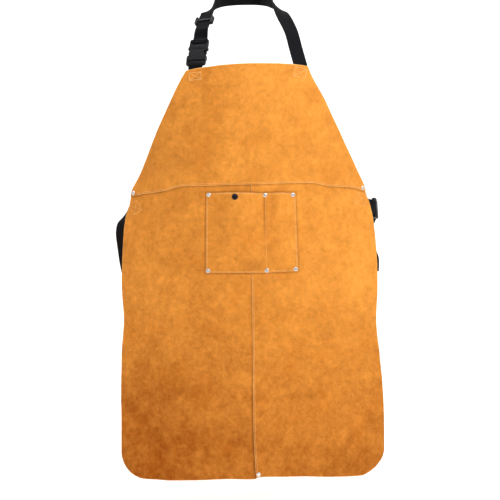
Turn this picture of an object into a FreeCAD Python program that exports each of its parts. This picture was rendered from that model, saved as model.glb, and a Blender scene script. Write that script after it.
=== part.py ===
import FreeCAD, Part
import Sketcher
import math
import os

# Welding apron: split-leather bib, two skirt panels joined by a centre seam,
# a riveted two-compartment pocket with a press snap, a neck strap with a
# side-release buckle and a tri-glide slider, and a waist belt with a second
# buckle. Millimetres, +Z up, the wearer faces -Y. The origin is on the
# wearer's body axis at the height of the waist seam. Left is -X and right
# is +X, as seen by someone facing the wearer.

Vector = FreeCAD.Vector
X_AXIS = Vector(1, 0, 0)
FRONTWARD = Vector(0, -1, 0)
UP = Vector(0, 0, 1)
doc = FreeCAD.newDocument("welding_apron")
nodes = []      # the pieces to export

# ---------------------------------------------------------------- driving dimensions
CELLS = [
    ("leather_thk", 1.6), ("layer_gap", 0.4), ("seam_lap", 12.0),
    ("hem_corner_wide", 56.0), ("hem_corner_high", 58.0),
    ("web_wide", 32.0), ("web_thk", 1.7),
    ("rivet_head_rad", 4.5), ("rivet_head_high", 2.0), ("rivet_bore_rad", 1.55),
    ("rivet_bore_deep", 1.55), ("rivet_post_rad", 1.5), ("rivet_flange_rad", 4.0),
    ("rivet_flange_thk", 0.9), ("rivet_hole_rad", 1.75), ("rivet_clear", 0.5),
    ("snap_cap_rad", 6.5), ("snap_cap_high", 2.6), ("snap_stem_rad", 1.6),
    ("snap_clear", 0.5), ("snap_socket_rad", 5.5), ("snap_socket_thk", 3.0),
    ("snap_bore_rad", 2.7), ("snap_bore_deep", 2.4), ("snap_stud_rad", 2.5),
    ("snap_stud_long", 2.9), ("snap_flange_rad", 5.5), ("snap_flange_thk", 0.8),
    # buckles: lengths run along the strap from the female half's strap end
    ("buckle_wide", 46.0), ("buckle_long", 50.0), ("buckle_thk", 10.0),
    ("cavity_wide", 38.0), ("cavity_high", 6.0), ("cavity_start", 15.0),
    ("slot_wide", 34.0), ("slot_start", 5.5), ("slot_end", 10.5),
    ("bar_thk", 5.2), ("notch_rad", 9.5), ("notch_along", 33.0), ("notch_out", 26.0),
    ("male_wide", 44.0), ("male_start", 50.4), ("male_end", 70.4), ("male_thk", 7.0),
    ("ladder_one", 57.2), ("ladder_two", 61.4), ("ladder_three", 64.6),
    ("ladder_four", 68.6), ("ladder_bar_thk", 3.0),
    ("tongue_wide", 8.0), ("tongue_start", 25.0), ("tongue_thk", 5.0),
    ("prong_pivot_out", 15.5), ("prong_pivot_along", 53.5), ("prong_disc_rad", 2.4),
    ("prong_seat_rad", 2.6), ("prong_thk", 5.0),
    ("slider_wide", 45.0), ("slider_start", 100.0), ("slider_long", 22.0),
    ("slider_half_thk", 4.0), ("slider_inner", 34.4), ("slider_web_half", 2.05),
    ("slider_end_bar", 5.0), ("slider_mid_bar", 5.0),
]
dims = doc.addObject("Spreadsheet::Sheet", "Dims")
for row, (alias, size) in enumerate(CELLS, 1):
    dims.set("A%d" % row, alias)
    dims.set("B%d" % row, repr(size))
    dims.setAlias("B%d" % row, alias)
doc.recompute()

leather = dims.leather_thk
gap = dims.layer_gap
lap = dims.seam_lap
layer = leather + gap
web_wide = dims.web_wide
web_thk = dims.web_thk


class Quantity:
    """A number together with the sheet expression that gives it."""

    def __init__(self, value, text):
        self.value = float(value)
        self.text = text

    def __add__(self, other):
        other = quantity(other)
        return Quantity(self.value + other.value, "(%s + %s)" % (self.text, other.text))

    def __sub__(self, other):
        other = quantity(other)
        return Quantity(self.value - other.value, "(%s - %s)" % (self.text, other.text))

    def __rmul__(self, factor):
        factor = quantity(factor)
        return Quantity(self.value * factor.value, "(%s * %s)" % (self.text, factor.text))

    def __neg__(self):
        return Quantity(-self.value, "(0 - %s)" % self.text)


def quantity(x):
    return x if isinstance(x, Quantity) else Quantity(x, repr(float(x)))


def dim(alias):
    return Quantity(getattr(dims, alias), "Dims." + alias)


# ---------------------------------------------------------------- sketched bodies
THROUGH = 40.0      # depth of a cut that goes right through a buckle
OVERRUN = 1.0       # how far a cutting profile runs past the part


def body(label):
    part = doc.addObject("PartDesign::Body", label)
    part.Label = label
    return part


def finish(part, place):
    part.Placement = place
    nodes.append(part)


def fix_point(sk, geo, pos, x, y):
    """Dimension one point of a sketch from the sketch's origin."""
    for kind, val, axis in (("DistanceX", quantity(x), -2), ("DistanceY", quantity(y), -1)):
        if abs(val.value) < 1e-9:
            sk.addConstraint(Sketcher.Constraint("PointOnObject", geo, pos, axis))
        elif val.value > 0:
            c = sk.addConstraint(Sketcher.Constraint(kind, -1, 1, geo, pos, val.value))
            sk.setExpression("Constraints[%d]" % c, val.text)
        else:
            c = sk.addConstraint(Sketcher.Constraint(kind, geo, pos, -1, 1, -val.value))
            sk.setExpression("Constraints[%d]" % c, (-val).text)


def add_polygon(sk, points):
    points = [(quantity(x), quantity(y)) for x, y in points]
    corners = [Vector(x.value, y.value, 0) for x, y in points]
    lines = [sk.addGeometry(Part.LineSegment(start, end))
             for start, end in zip(corners, corners[1:] + corners[:1])]
    for line, following in zip(lines, lines[1:] + lines[:1]):
        sk.addConstraint(Sketcher.Constraint("Coincident", line, 2, following, 1))
    for line, (x, y) in zip(lines, points):
        fix_point(sk, line, 1, x, y)


def add_circle(sk, x, y, radius):
    centre = Vector(quantity(x).value, quantity(y).value, 0)
    geo = sk.addGeometry(Part.Circle(centre, UP, radius.value))
    fix_point(sk, geo, 3, x, y)
    c = sk.addConstraint(Sketcher.Constraint("Radius", geo, radius.value))
    sk.setExpression("Constraints[%d]" % c, radius.text)


def sketch(part, name, polygons=(), circles=(), role="XY_Plane"):
    """A sketch on an origin plane; each circle is (x, y, radius)."""
    sk = part.newObject("Sketcher::SketchObject", name)
    plane = next(f for f in part.Origin.OriginFeatures if f.Role == role)
    sk.AttachmentSupport = [(plane, "")]
    sk.MapMode = "FlatFace"
    for points in polygons:
        add_polygon(sk, points)
    for x, y, radius in circles:
        add_circle(sk, x, y, radius)
    return sk


def rect(x0, y0, x1, y1):
    return [(x0, y0), (x1, y0), (x1, y1), (x0, y1)]


def extrude(part, kind, profile, length, name, symmetric, reverse=False):
    feat = part.newObject(kind, name)
    feat.Profile = profile
    length = quantity(length)
    feat.Length = length.value
    feat.setExpression("Length", length.text)
    if symmetric:
        feat.SideType = "Symmetric"
    if reverse:
        feat.Reversed = True
    doc.recompute()
    return feat


def pad(part, profile, length, name):
    """A pad centred on its sketch plane."""
    extrude(part, "PartDesign::Pad", profile, length, name, symmetric=True)


def cut(part, profile, length, name):
    """A pocket centred on its sketch plane, which has to remove something."""
    before = part.Shape.Volume
    extrude(part, "PartDesign::Pocket", profile, length, name, symmetric=True)
    if not part.Shape.Volume < before - 1e-3:
        raise RuntimeError("pocket removed nothing on " + part.Label)


def disc(part, sketch_name, radius, length, name, reverse=False):
    """A round pad on the part's Z axis, from its origin up or, reversed, down."""
    profile = sketch(part, sketch_name, circles=[(0, 0, radius)])
    return extrude(part, "PartDesign::Pad", profile, length, name, False, reverse)


def bore(part, sketch_name, radius, depth, name):
    """A round blind hole up from the part's origin."""
    cut(part, sketch(part, sketch_name, circles=[(0, 0, radius)]), 2 * depth, name)


def round_rims(part, feat, radius, name, above=-1.0):
    """Fillet the full-circle edges that lie above a height."""
    rims = ["Edge%d" % i for i, edge in enumerate(feat.Shape.Edges, 1)
            if len(edge.Vertexes) == 1 and edge.Vertexes[0].Point.z > above]
    rounding = part.newObject("PartDesign::Fillet", name)
    rounding.Base = (feat, rims)
    rounding.Radius = radius
    doc.recompute()


# ---------------------------------------------------------------- frames and solids
def unit(v):
    v = Vector(v)
    v.normalize()
    return v


def frame(origin, x, y):
    """Placement whose local Y follows y and local X leans to x, with Z = X x Y."""
    y = unit(y)
    x = unit(x - y * y.dot(x))
    z = x.cross(y)
    return FreeCAD.Placement(FreeCAD.Matrix(x.x, y.x, z.x, origin.x,
                                            x.y, y.y, z.y, origin.y,
                                            x.z, y.z, z.z, origin.z, 0, 0, 0, 1))


def frame_on_z(origin, z):
    x = unit(X_AXIS - z * z.x)
    return frame(origin, x, z.cross(x))


def along(place, y, z=0.0):
    """A point on the centre plane of a strap fitting's frame."""
    return place.multVec(Vector(0, y, z))


def feature(label, shape, place=FreeCAD.Placement()):
    feat = doc.addObject("Part::Feature", label)
    feat.Label = label
    feat.Shape = shape
    feat.Placement = place
    nodes.append(feat)


def close(shapes):
    """Sew faces into one solid that faces outward."""
    shell = Part.makeShell([face for shape in shapes for face in shape.Faces])
    shell.sewShape()
    if shell.ShapeType != "Shell":
        shell = shell.Shells[0]
    solid = Part.makeSolid(shell)
    if solid.Volume < 0:
        solid.reverse()
    return solid


# ---------------------------------------------------------------- body surface
class Curve:
    """Monotone cubic curve through a table of points, straight beyond its ends."""

    def __init__(self, points):
        points = sorted(points)
        self.x = [p[0] for p in points]
        self.y = [p[1] for p in points]
        runs = [b - a for a, b in zip(self.x, self.x[1:])]
        rates = [(b - a) / run for a, b, run in zip(self.y, self.y[1:], runs)]
        self.slope = [rates[0]] + [0.0] * (len(points) - 2) + [rates[-1]]
        for i in range(1, len(points) - 1):
            if rates[i - 1] * rates[i] > 0:
                weight_0 = 2 * runs[i] + runs[i - 1]
                weight_1 = runs[i] + 2 * runs[i - 1]
                self.slope[i] = ((weight_0 + weight_1)
                                 / (weight_0 / rates[i - 1] + weight_1 / rates[i]))

    def __call__(self, t):
        x, y, slope = self.x, self.y, self.slope
        if t <= x[0]:
            return y[0] + slope[0] * (t - x[0])
        if t >= x[-1]:
            return y[-1] + slope[-1] * (t - x[-1])
        k = 0
        while t > x[k + 1]:
            k += 1
        run = x[k + 1] - x[k]
        u = (t - x[k]) / run
        return ((1 + 2 * u) * (1 - u) ** 2 * y[k] + u * (1 - u) ** 2 * run * slope[k]
                + u * u * (3 - 2 * u) * y[k + 1] + u * u * (u - 1) * run * slope[k + 1])


# The surface is y = FRONT + DEPTH * (|x| / REACH) ** SECTION_POWER.
# (z, how far the surface falls back at |x| = REACH)
DEPTH = Curve([(-643, 60), (-450, 62), (-320, 64), (-200, 72), (-120, 86), (-60, 100),
               (0, 104), (60, 84), (130, 60), (200, 38), (273, 22)])
# (z, y on the centre line)
FRONT = Curve([(-643, -140), (-450, -142), (-320, -140), (-200, -136), (-120, -133),
               (-60, -131), (0, -130), (60, -130), (130, -127), (200, -119), (273, -104)])
# (z, x)
REACH = Curve([(-643, 290), (-400, 288), (-200, 288), (-120, 284), (-60, 278), (0, 264),
               (60, 236), (130, 203), (200, 170), (273, 135)])
SECTION_POWER = 2.6

# Upright edges of the panels: (z, x)
LEFT = Curve([
    (267, -139.5), (239, -155.7), (185, -181.1), (131, -206.3), (85, -226.4),
    (35, -247.5), (10, -260.5), (-11, -268.4), (-25, -270.6), (-41, -273.9),
    (-62, -281.0), (-104, -285.2), (-174, -286.3), (-207, -287.2), (-241, -285.4),
    (-293, -280.6), (-336, -283.0), (-378, -285.8), (-464, -286.9), (-550, -285.6),
    (-654, -285.1)])
RIGHT = Curve([
    (274, 131.1), (253, 139.6), (207, 165.3), (149, 193.4), (99, 217.4), (54, 240.0),
    (19, 257.0), (1, 263.4), (-13, 267.4), (-34, 275.4), (-81, 283.8), (-127, 287.3),
    (-187, 289.5), (-228, 289.2), (-283, 286.2), (-314, 286.8), (-378, 293.6),
    (-442, 300.4), (-542, 305.3), (-649, 306.0)])
SEAM = Curve([(20, 4.2), (-150, 4.3), (-205, 6.4), (-289, 7.5), (-353, 8.5), (-458, 9.1),
              (-542, 10.4), (-630, 15.2), (-650, 17.6)])
POCKET_LEFT = Curve([(-12, -93.7), (-90, -94.6), (-190, -95.4)])
POCKET_RIGHT = Curve([(-12, 101.7), (-90, 104.4), (-190, 108.5)])

# Level edges of the panels: (x, z)
WAIST = Curve([
    (-272, -15.8), (-258, -15.4), (-240, -12.8), (-221.7, -11.1), (-201.3, -8.6),
    (-181.3, -5.6), (-165.4, -1.2), (-148, 2.4), (-125, 3.2), (-96.6, 3.4),
    (-42.2, 4.5), (24.1, 6.4), (90.6, 8.9), (132, 9.9), (145.3, 9.4), (156, 7.8),
    (167, 5.6), (183.5, 3.6), (222.6, 2.6), (240, 0.8), (256, -3.6), (272, -5.4)])
TOP = Curve([
    (-139.5, 264.0), (-114.4, 267.9), (-87.3, 270.8), (-60.5, 273.7), (-20.3, 276.4),
    (6.5, 277.3), (60, 277.4), (91.4, 276.6), (113.9, 275.1), (131, 273.2)])
HEM_LEFT = Curve([(-287.6, -648.6), (-220.4, -649.5), (-191, -649.0), (-126.1, -646.8),
                  (-20, -643.7), (13, -643.3), (18.5, -640.2), (32, -638.6)])
HEM_RIGHT = Curve([(8, -638.6), (25.6, -638.3), (134.5, -639.8), (199.5, -641.6),
                   (265.9, -642.4), (307.6, -644.0)])
POCKET_TOP = Curve([(-94, -12.6), (-30, -12.9), (35, -13.1), (102, -12.2)])
POCKET_BOTTOM = Curve([(-96, -190.0), (2, -189.4), (109, -186.2)])

# Leather eases over an overlap: it rises before the lap and falls past it
SEAM_RISE = 26.0
SEAM_FALL = 22.0
WAIST_FALL = 26.0
LAP_MARGIN = 1.0

POCKET_MOUTH_Z = -13.0
POCKET_FOOT_Z = -190.0
BULGE_FOOT_Z = -178.0
# Compartments: x at the mouth and its shift outward at the foot, for the left
# and the right side, then how far the compartment stands off
COMPARTMENTS = [((-82.0, -1.5), (28.2, 3.5), 14.0),
                ((42.8, 3.5), (88.5, 5.5), 9.0)]


def smooth(t):
    t = max(0.0, min(1.0, t))
    return t * t * (3 - 2 * t)


def surface_y(x, z):
    return FRONT(z) + DEPTH(z) * (abs(x) / REACH(z)) ** SECTION_POWER


def slope_y(x, z, dx, dz):
    """Rate of the surface's y in the direction (dx, dz)."""
    e = 0.5
    return (surface_y(x + dx * e, z + dz * e) - surface_y(x - dx * e, z - dz * e)) / (2 * e)


def surface_normal(x, z):
    """Unit normal that points to the front."""
    return unit(Vector(slope_y(x, z, 1, 0), -1, slope_y(x, z, 0, 1)))


def surface_point(x, z, offset):
    return Vector(x, surface_y(x, z), z) + surface_normal(x, z) * offset


def cover(x, z):
    """Extra offset of a layer that crosses the centre seam."""
    seam = SEAM(z)
    return (layer * smooth((x - (seam - SEAM_RISE)) / SEAM_RISE)
            * (1 - smooth((x - (seam + lap + LAP_MARGIN)) / SEAM_FALL)))


def bib_offset(x, z):
    """The bib lies over the skirt at the waist and comes back to the surface above."""
    past_lap = z - (WAIST(x) + lap + LAP_MARGIN)
    return (layer + cover(x, z)) * (1 - smooth(past_lap / WAIST_FALL))


def bulge(x, z):
    """How far the pocket stands off the skirt, in its two compartments."""
    foot = 1 - (z - POCKET_FOOT_Z) / (POCKET_MOUTH_Z - POCKET_FOOT_Z)
    height = (z - BULGE_FOOT_Z) / (POCKET_MOUTH_Z - BULGE_FOOT_Z)
    if height <= 0:
        return 0.0
    stand = 0.0
    for (left, left_shift), (right, right_shift), high in COMPARTMENTS:
        start = left + left_shift * foot
        u = (x - start) / (right + right_shift * foot - start)
        if 0 < u < 1:
            stand = high * math.sin(math.pi * u) ** 1.4
    return stand * math.sin(min(1.0, height / 0.75) * math.pi / 2) ** 1.3


def waist_lap(x):
    """Top edge of the skirt, hidden behind the bib."""
    return WAIST(x) + lap


def seam_lap(z):
    """Right edge of the left skirt panel, hidden behind the right one."""
    return SEAM(z) + lap


# ---------------------------------------------------------------- leather panels
# Rivet places: (x, z)
POCKET_RIVETS = [(-88.6, -17.2), (35.3, -18.0), (96.0, -17.2),
                 (-90.0, -184.8), (38.9, -184.4), (102.4, -181.2)]
WAIST_RIVET_LEFT = (-261.6, -10.2)
WAIST_RIVET_RIGHT = (256.6, 1.8)
HEM_RIVET_Z = -632.8
HEM_RIVET = (SEAM(HEM_RIVET_Z) + 5.6, HEM_RIVET_Z)
SNAP_X, SNAP_Z = -31.2, -21.9
snap_y = surface_y(SNAP_X, SNAP_Z)

# Hem corners: (side edge x, hem z, side, widening of the corner)
HEM_CORNER_Z = -620
CORNER_LEFT = (LEFT(HEM_CORNER_Z), -649.6, -1, 1.0)
CORNER_RIGHT = (RIGHT(HEM_CORNER_Z), -643.4, 1, 1.2)

# Shares of the pocket's width, denser where the compartments start
POCKET_COLUMNS = [0, 0.026, 0.055, 0.10, 0.16, 0.22, 0.28, 0.34, 0.40, 0.46, 0.52, 0.575,
                  0.625, 0.655, 0.685, 0.715, 0.755, 0.80, 0.83, 0.86, 0.89, 0.913, 0.935,
                  0.96, 0.98, 1.0]
# Shares of the right skirt's width, denser over the centre seam
SEAM_COLUMNS = [x / 290.0 for x in (0, 6.5, 13, 19, 25, 31, 38)]


def spread(*runs, start=0.0):
    """Stations from start; each run is (its end, its number of steps)."""
    out = [start]
    for end, count in runs:
        out += [start + (end - start) * i / count for i in range(1, count + 1)]
        start = end
    return out


SKIRT_ROWS = spread((0.75, 14), (0.96, 8), (1, 4))


def sheet_solid(columns, rows, left, right, top, bottom, offset):
    """A closed leather sheet on the body surface, between four edge curves."""
    front, back = [], []
    for u in columns:
        front_row, back_row = [], []
        for v in rows:
            x = 0.0
            for _ in range(12):
                z = bottom(x) * (1 - v) + top(x) * v
                x = left(z) * (1 - u) + right(z) * u
            inside = offset(x, z)
            front_row.append(surface_point(x, z, inside + leather))
            back_row.append(surface_point(x, z, inside))
        front.append(front_row)
        back.append(back_row)
    front_skin, back_skin = Part.BSplineSurface(), Part.BSplineSurface()
    front_skin.interpolate(front)
    back_skin.interpolate(back)
    u0, u1, v0, v1 = front_skin.bounds()
    faces = [front_skin.toShape(), back_skin.toShape()]
    for iso, at in (("uIso", u0), ("uIso", u1), ("vIso", v0), ("vIso", v1)):
        faces.append(Part.makeRuledSurface(getattr(front_skin, iso)(at).toShape(),
                                           getattr(back_skin, iso)(at).toShape()))
    return close(faces)


def hem_cutter(x_edge, z_edge, side, widen):
    """Outside of an elliptical hem corner, as a prism along Y."""
    y, depth, margin, steps = -400, 500, 60, 24
    wide = dims.hem_corner_wide * widen
    high = dims.hem_corner_high
    x_mid, z_mid = x_edge - side * wide, z_edge + high
    angles = [k * math.pi / (2 * steps) for k in range(steps + 1)]
    points = [Vector(x_mid + side * wide * math.sin(a), y, z_mid - high * math.cos(a))
              for a in angles]
    arc = Part.BSplineCurve()
    arc.interpolate(points)
    far = Vector(x_edge + side * margin, y, z_edge - margin)
    corners = [points[-1], Vector(far.x, y, points[-1].z), far,
               Vector(points[0].x, y, far.z), points[0]]
    lines = [Part.makeLine(a, b) for a, b in zip(corners, corners[1:])]
    return Part.Face(Part.Wire([arc.toShape()] + lines)).extrude(Vector(0, depth, 0))


def drilled(panel, places):
    """Cut rivet holes along the surface normal."""
    for x, z in places:
        n = surface_normal(x, z)
        start = Vector(x, surface_y(x, z), z) - n * 12
        panel = panel.cut(Part.makeCylinder(dims.rivet_hole_rad, 30, start, n))
    return panel


def snap_drill():
    return Part.makeCylinder(dims.snap_stem_rad + 0.3, 60,
                             Vector(SNAP_X, snap_y + 20, SNAP_Z), FRONTWARD)


def bib_panel():
    # columns and rows are denser over the centre seam and the waist lap
    columns = spread((0.15, 6), (0.465, 8), (0.60, 7), (0.85, 6), (1, 6))
    rows = spread((0.2, 8), (1, 16))
    panel = sheet_solid(columns, rows, LEFT, RIGHT, TOP, WAIST, bib_offset)
    return drilled(panel, [WAIST_RIVET_LEFT, WAIST_RIVET_RIGHT])


def skirt_panel_left():
    columns = spread((0.28, 10), (1, 8))
    panel = sheet_solid(columns, SKIRT_ROWS, LEFT, seam_lap, waist_lap, HEM_LEFT,
                        lambda x, z: 0.0)
    panel = panel.cut(hem_cutter(*CORNER_LEFT))
    panel = drilled(panel, [(x, z) for x, z in POCKET_RIVETS if x < seam_lap(z)])
    panel = panel.cut(snap_drill())
    return drilled(panel, [WAIST_RIVET_LEFT, HEM_RIVET])


def skirt_panel_right():
    columns = SEAM_COLUMNS + spread((0.72, 6), (1, 10), start=0.2)
    panel = sheet_solid(columns, SKIRT_ROWS, SEAM, RIGHT, waist_lap, HEM_RIGHT, cover)
    panel = panel.cut(hem_cutter(*CORNER_RIGHT))
    panel = drilled(panel, [(x, z) for x, z in POCKET_RIVETS if x >= seam_lap(z)])
    return drilled(panel, [WAIST_RIVET_RIGHT, HEM_RIVET])


def pocket_panel():
    panel = sheet_solid(POCKET_COLUMNS, spread((0.12, 3), (1, 10)), POCKET_LEFT, POCKET_RIGHT,
                        POCKET_TOP, POCKET_BOTTOM,
                        lambda x, z: layer + cover(x, z) + bulge(x, z))
    return drilled(panel, POCKET_RIVETS).cut(snap_drill())


feature("bib_panel", bib_panel())
feature("skirt_panel_left", skirt_panel_left())
feature("skirt_panel_right", skirt_panel_right())
feature("pocket_panel", pocket_panel())

# ---------------------------------------------------------------- rivets
rivet_stack = 2 * dim("leather_thk") + dim("layer_gap")     # two layers of leather


def rivet_cap():
    part = body("rivet_cap")
    head = disc(part, "cap_outline", dim("rivet_head_rad"), dim("rivet_head_high"), "cap_pad")
    round_rims(part, head, 1.55, "cap_dome", above=dims.rivet_head_high - 0.1)
    bore(part, "cap_bore", dim("rivet_bore_rad"), dim("rivet_bore_deep"), "cap_bore_cut")
    return part


def rivet_post():
    into_cap = 1.4
    part = body("rivet_post")
    disc(part, "post_shank", dim("rivet_post_rad"),
         rivet_stack + 2 * dim("rivet_clear") + into_cap, "post_pad")
    disc(part, "post_flange", dim("rivet_flange_rad"), dim("rivet_flange_thk"),
         "post_flange_pad", reverse=True)
    return part


def group(label, source, placements):
    """A compound of linked copies of one body."""
    links = []
    for i, place in enumerate(placements, 1):
        link = doc.addObject("App::Link", "%s_%d" % (label, i))
        link.LinkedObject = source
        link.Placement = place
        links.append(link)
    compound = doc.addObject("Part::Compound", label)
    compound.Label = label
    compound.Links = links
    nodes.append(compound)


def rivets(label, places, cap, post):
    caps, posts = [], []
    for x, z in places:
        n = surface_normal(x, z)
        base = surface_point(x, z, cover(x, z) if x > seam_lap(z) else 0.0)
        caps.append(frame_on_z(base + n * (rivet_stack.value + dims.rivet_clear), n))
        posts.append(frame_on_z(base - n * dims.rivet_clear, n))
    group(label + "_caps", cap, caps)
    group(label + "_posts", post, posts)


cap, post = rivet_cap(), rivet_post()
doc.recompute()
rivets("pocket_rivet", POCKET_RIVETS, cap, post)
rivets("seam_rivet", [WAIST_RIVET_LEFT, WAIST_RIVET_RIGHT, HEM_RIVET], cap, post)

# ---------------------------------------------------------------- press snap
# Domed cap and socket on the pocket mouth, stud and eyelet on the skirt
STUD_CLEAR = 0.4        # stud and eyelet flanges off the skirt leather
pocket_back = snap_y - (layer + bulge(SNAP_X, SNAP_Z))
pocket_front = pocket_back - leather
skirt_front = snap_y - leather


def snap_frame(y):
    """Local Z faces the front."""
    return frame(Vector(SNAP_X, y, SNAP_Z), X_AXIS, UP)


def snap_cap():
    part = body("snap_cap")
    head = disc(part, "snap_cap_outline", dim("snap_cap_rad"), dim("snap_cap_high"),
                "snap_cap_pad")
    round_rims(part, head, 2.1, "snap_dome", above=dims.snap_cap_high - 0.1)
    disc(part, "snap_stem", dim("snap_stem_rad"),
         dim("leather_thk") + 2 * dim("snap_clear") - 0.1, "snap_stem_pad", reverse=True)
    finish(part, snap_frame(pocket_front - dims.snap_clear))


def snap_socket():
    part = body("snap_socket")
    ring = disc(part, "socket_outline", dim("snap_socket_rad"), dim("snap_socket_thk"),
                "socket_pad")
    round_rims(part, ring, 0.6, "socket_round")
    bore(part, "socket_bore", dim("snap_bore_rad"), dim("snap_bore_deep"), "socket_bore_cut")
    finish(part, snap_frame(pocket_back + dims.snap_clear + dims.snap_socket_thk))


def snap_stud():
    part = body("snap_stud")
    flange = dim("snap_flange_thk")
    disc(part, "stud_flange", dim("snap_flange_rad"), flange, "stud_flange_pad")
    tip = disc(part, "stud_tip", dim("snap_stud_rad"), flange + dim("snap_stud_long"),
               "stud_tip_pad")
    round_rims(part, tip, 0.7, "stud_round",
               above=dims.snap_flange_thk + dims.snap_stud_long - 0.1)
    finish(part, snap_frame(skirt_front - STUD_CLEAR))


def snap_stud_eyelet():
    part = body("snap_stud_eyelet")
    disc(part, "eyelet_flange", dim("snap_flange_rad"), dim("snap_flange_thk"),
         "eyelet_flange_pad", reverse=True)
    disc(part, "eyelet_barrel", dim("snap_stem_rad") - 0.2, dim("leather_thk") + 0.7,
         "eyelet_barrel_pad")
    finish(part, snap_frame(snap_y + STUD_CLEAR))


snap_cap()
snap_socket()
snap_stud()
snap_stud_eyelet()

# ---------------------------------------------------------------- buckles and slider
# Right prong: (x, distance in -Y from the pivot), from its root disc down to the
# catch in the side notch and back
PRONG = [(13.8, 0.5), (13.8, 25.5), (15.6, 30.9), (17.4, 30.9), (18.3, 27.5), (20.2, 24.9),
         (21.9, 20.5), (20.6, 15.3), (17.6, 14.1), (17.2, 9.5), (17.2, 0.5)]


def buckle_female(label, place):
    part = body(label)
    half, length = 0.5 * dim("buckle_wide"), dim("buckle_long")
    outline = [(-half + 3.0, 0), (half - 3.0, 0), (half, 3.0), (half, length - 2.0),
               (half - 2.0, length), (-half + 2.0, length), (-half, length - 2.0), (-half, 3.0)]
    pad(part, sketch(part, label + "_outline", [outline]), dim("buckle_thk"), label + "_pad")
    # the strap end thins to a bar
    bar, full = 0.5 * dim("bar_thk"), 0.5 * dim("buckle_thk")
    far = full + 3.0
    slot_end = dim("slot_end")
    taper_end = slot_end + 3.5
    front = [(-OVERRUN, bar), (slot_end, bar), (taper_end, full), (taper_end, far),
             (-OVERRUN, far)]
    back = [(-OVERRUN, -bar), (-OVERRUN, -far), (taper_end, -far), (taper_end, -full),
            (slot_end, -bar)]
    cut(part, sketch(part, label + "_taper", [front, back], role="YZ_Plane"),
        2 * dim("buckle_wide"), label + "_taper_cut")
    cavity = rect(-0.5 * dim("cavity_wide"), dim("cavity_start"),
                  0.5 * dim("cavity_wide"), length + OVERRUN)
    cut(part, sketch(part, label + "_cavity", [cavity]), dim("cavity_high"),
        label + "_cavity_cut")
    slot = rect(-0.5 * dim("slot_wide"), dim("slot_start"), 0.5 * dim("slot_wide"), slot_end)
    cut(part, sketch(part, label + "_slot", [slot]), THROUGH, label + "_slot_cut")
    notches = [(x, dim("notch_along"), dim("notch_rad"))
               for x in (dim("notch_out"), -dim("notch_out"))]
    cut(part, sketch(part, label + "_notches", circles=notches), THROUGH, label + "_notch_cut")
    finish(part, place)


def buckle_male(label, place):
    part = body(label)
    half = 0.5 * dim("male_wide")
    start, end = dim("male_start"), dim("male_end")
    outline = [(-half, start), (half, start), (half, end - 3.0), (half - 3.0, end),
               (-half + 3.0, end), (-half, end - 3.0)]
    pad(part, sketch(part, label + "_outline", [outline]), dim("male_thk"), label + "_pad")
    side, tip = 0.5 * dim("tongue_wide"), dim("tongue_start")
    root = start + 1.0
    tongue = [(-side + 1.5, tip), (side - 1.5, tip), (side, tip + 2.5), (side, root),
              (-side, root), (-side, tip + 2.5)]
    pad(part, sketch(part, label + "_tongue", [tongue]), dim("tongue_thk"),
        label + "_tongue_pad")
    slot = 0.5 * dim("slot_wide")
    slots = [rect(-slot, dim("ladder_one"), slot, dim("ladder_two")),
             rect(-slot, dim("ladder_three"), slot, dim("ladder_four"))]
    cut(part, sketch(part, label + "_ladder", slots), THROUGH, label + "_ladder_cut")
    # the outer ladder bars are thinner than the frame
    bar, far = 0.5 * dim("ladder_bar_thk"), 0.5 * dim("male_thk") + OVERRUN
    near, beyond = dim("ladder_two") - 0.4, end + OVERRUN
    recesses = [rect(near, bar, beyond, far), rect(near, -far, beyond, -bar)]
    cut(part, sketch(part, label + "_recess", recesses, role="YZ_Plane"), dim("slot_wide"),
        label + "_recess_cut")
    # prong seats: a mouth from the front edge to a round seat
    out, pivot = dim("prong_pivot_out"), dim("prong_pivot_along")
    seat_high = dim("prong_thk") + 0.3
    mouths = [rect(x - 3.1, start - OVERRUN, x + 3.1, pivot) for x in (out, -out)]
    cut(part, sketch(part, label + "_seats", mouths), seat_high, label + "_mouth_cut")
    seats = [(x, pivot, dim("prong_seat_rad")) for x in (out, -out)]
    cut(part, sketch(part, label + "_discs", circles=seats), seat_high, label + "_seat_cut")
    finish(part, place)


def prong(label, side, place):
    part = body(label)
    out, pivot = dim("prong_pivot_out"), dim("prong_pivot_along")
    arm = [(side * x, pivot - below) for x, below in PRONG[::side]]
    pad(part, sketch(part, label + "_arm", [arm]), dim("prong_thk"), label + "_arm_pad")
    root = (side * out, pivot, dim("prong_disc_rad"))
    pad(part, sketch(part, label + "_root", circles=[root]), dim("prong_thk"),
        label + "_root_pad")
    finish(part, place)


def slider(label, place):
    part = body(label)
    half, corner = 0.5 * dim("slider_wide"), 2.5
    start = dim("slider_start")
    end = start + dim("slider_long")
    outline = [(-half + corner, start), (half - corner, start), (half, start + corner),
               (half, end - corner), (half - corner, end), (-half + corner, end),
               (-half, end - corner), (-half, start + corner)]
    half_thk = dim("slider_half_thk")
    pad(part, sketch(part, label + "_outline", [outline]), 2 * half_thk, label + "_pad")
    # webbing passage: it leaves the end bars at the back and the centre bar at the front
    web, far = dim("slider_web_half"), half_thk + OVERRUN
    bar, half_mid = dim("slider_end_bar"), 0.5 * dim("slider_mid_bar")
    mid = start + 0.5 * dim("slider_long")
    passage = [(start - OVERRUN, -web), (start + bar, -web), (start + bar, -far),
               (end - bar, -far), (end - bar, -web), (end + OVERRUN, -web),
               (end + OVERRUN, far), (mid + half_mid, far), (mid + half_mid, web),
               (mid - half_mid, web), (mid - half_mid, far), (start - OVERRUN, far)]
    cut(part, sketch(part, label + "_web", [passage], role="YZ_Plane"), dim("slider_inner"),
        label + "_web_cut")
    finish(part, place)


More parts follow.
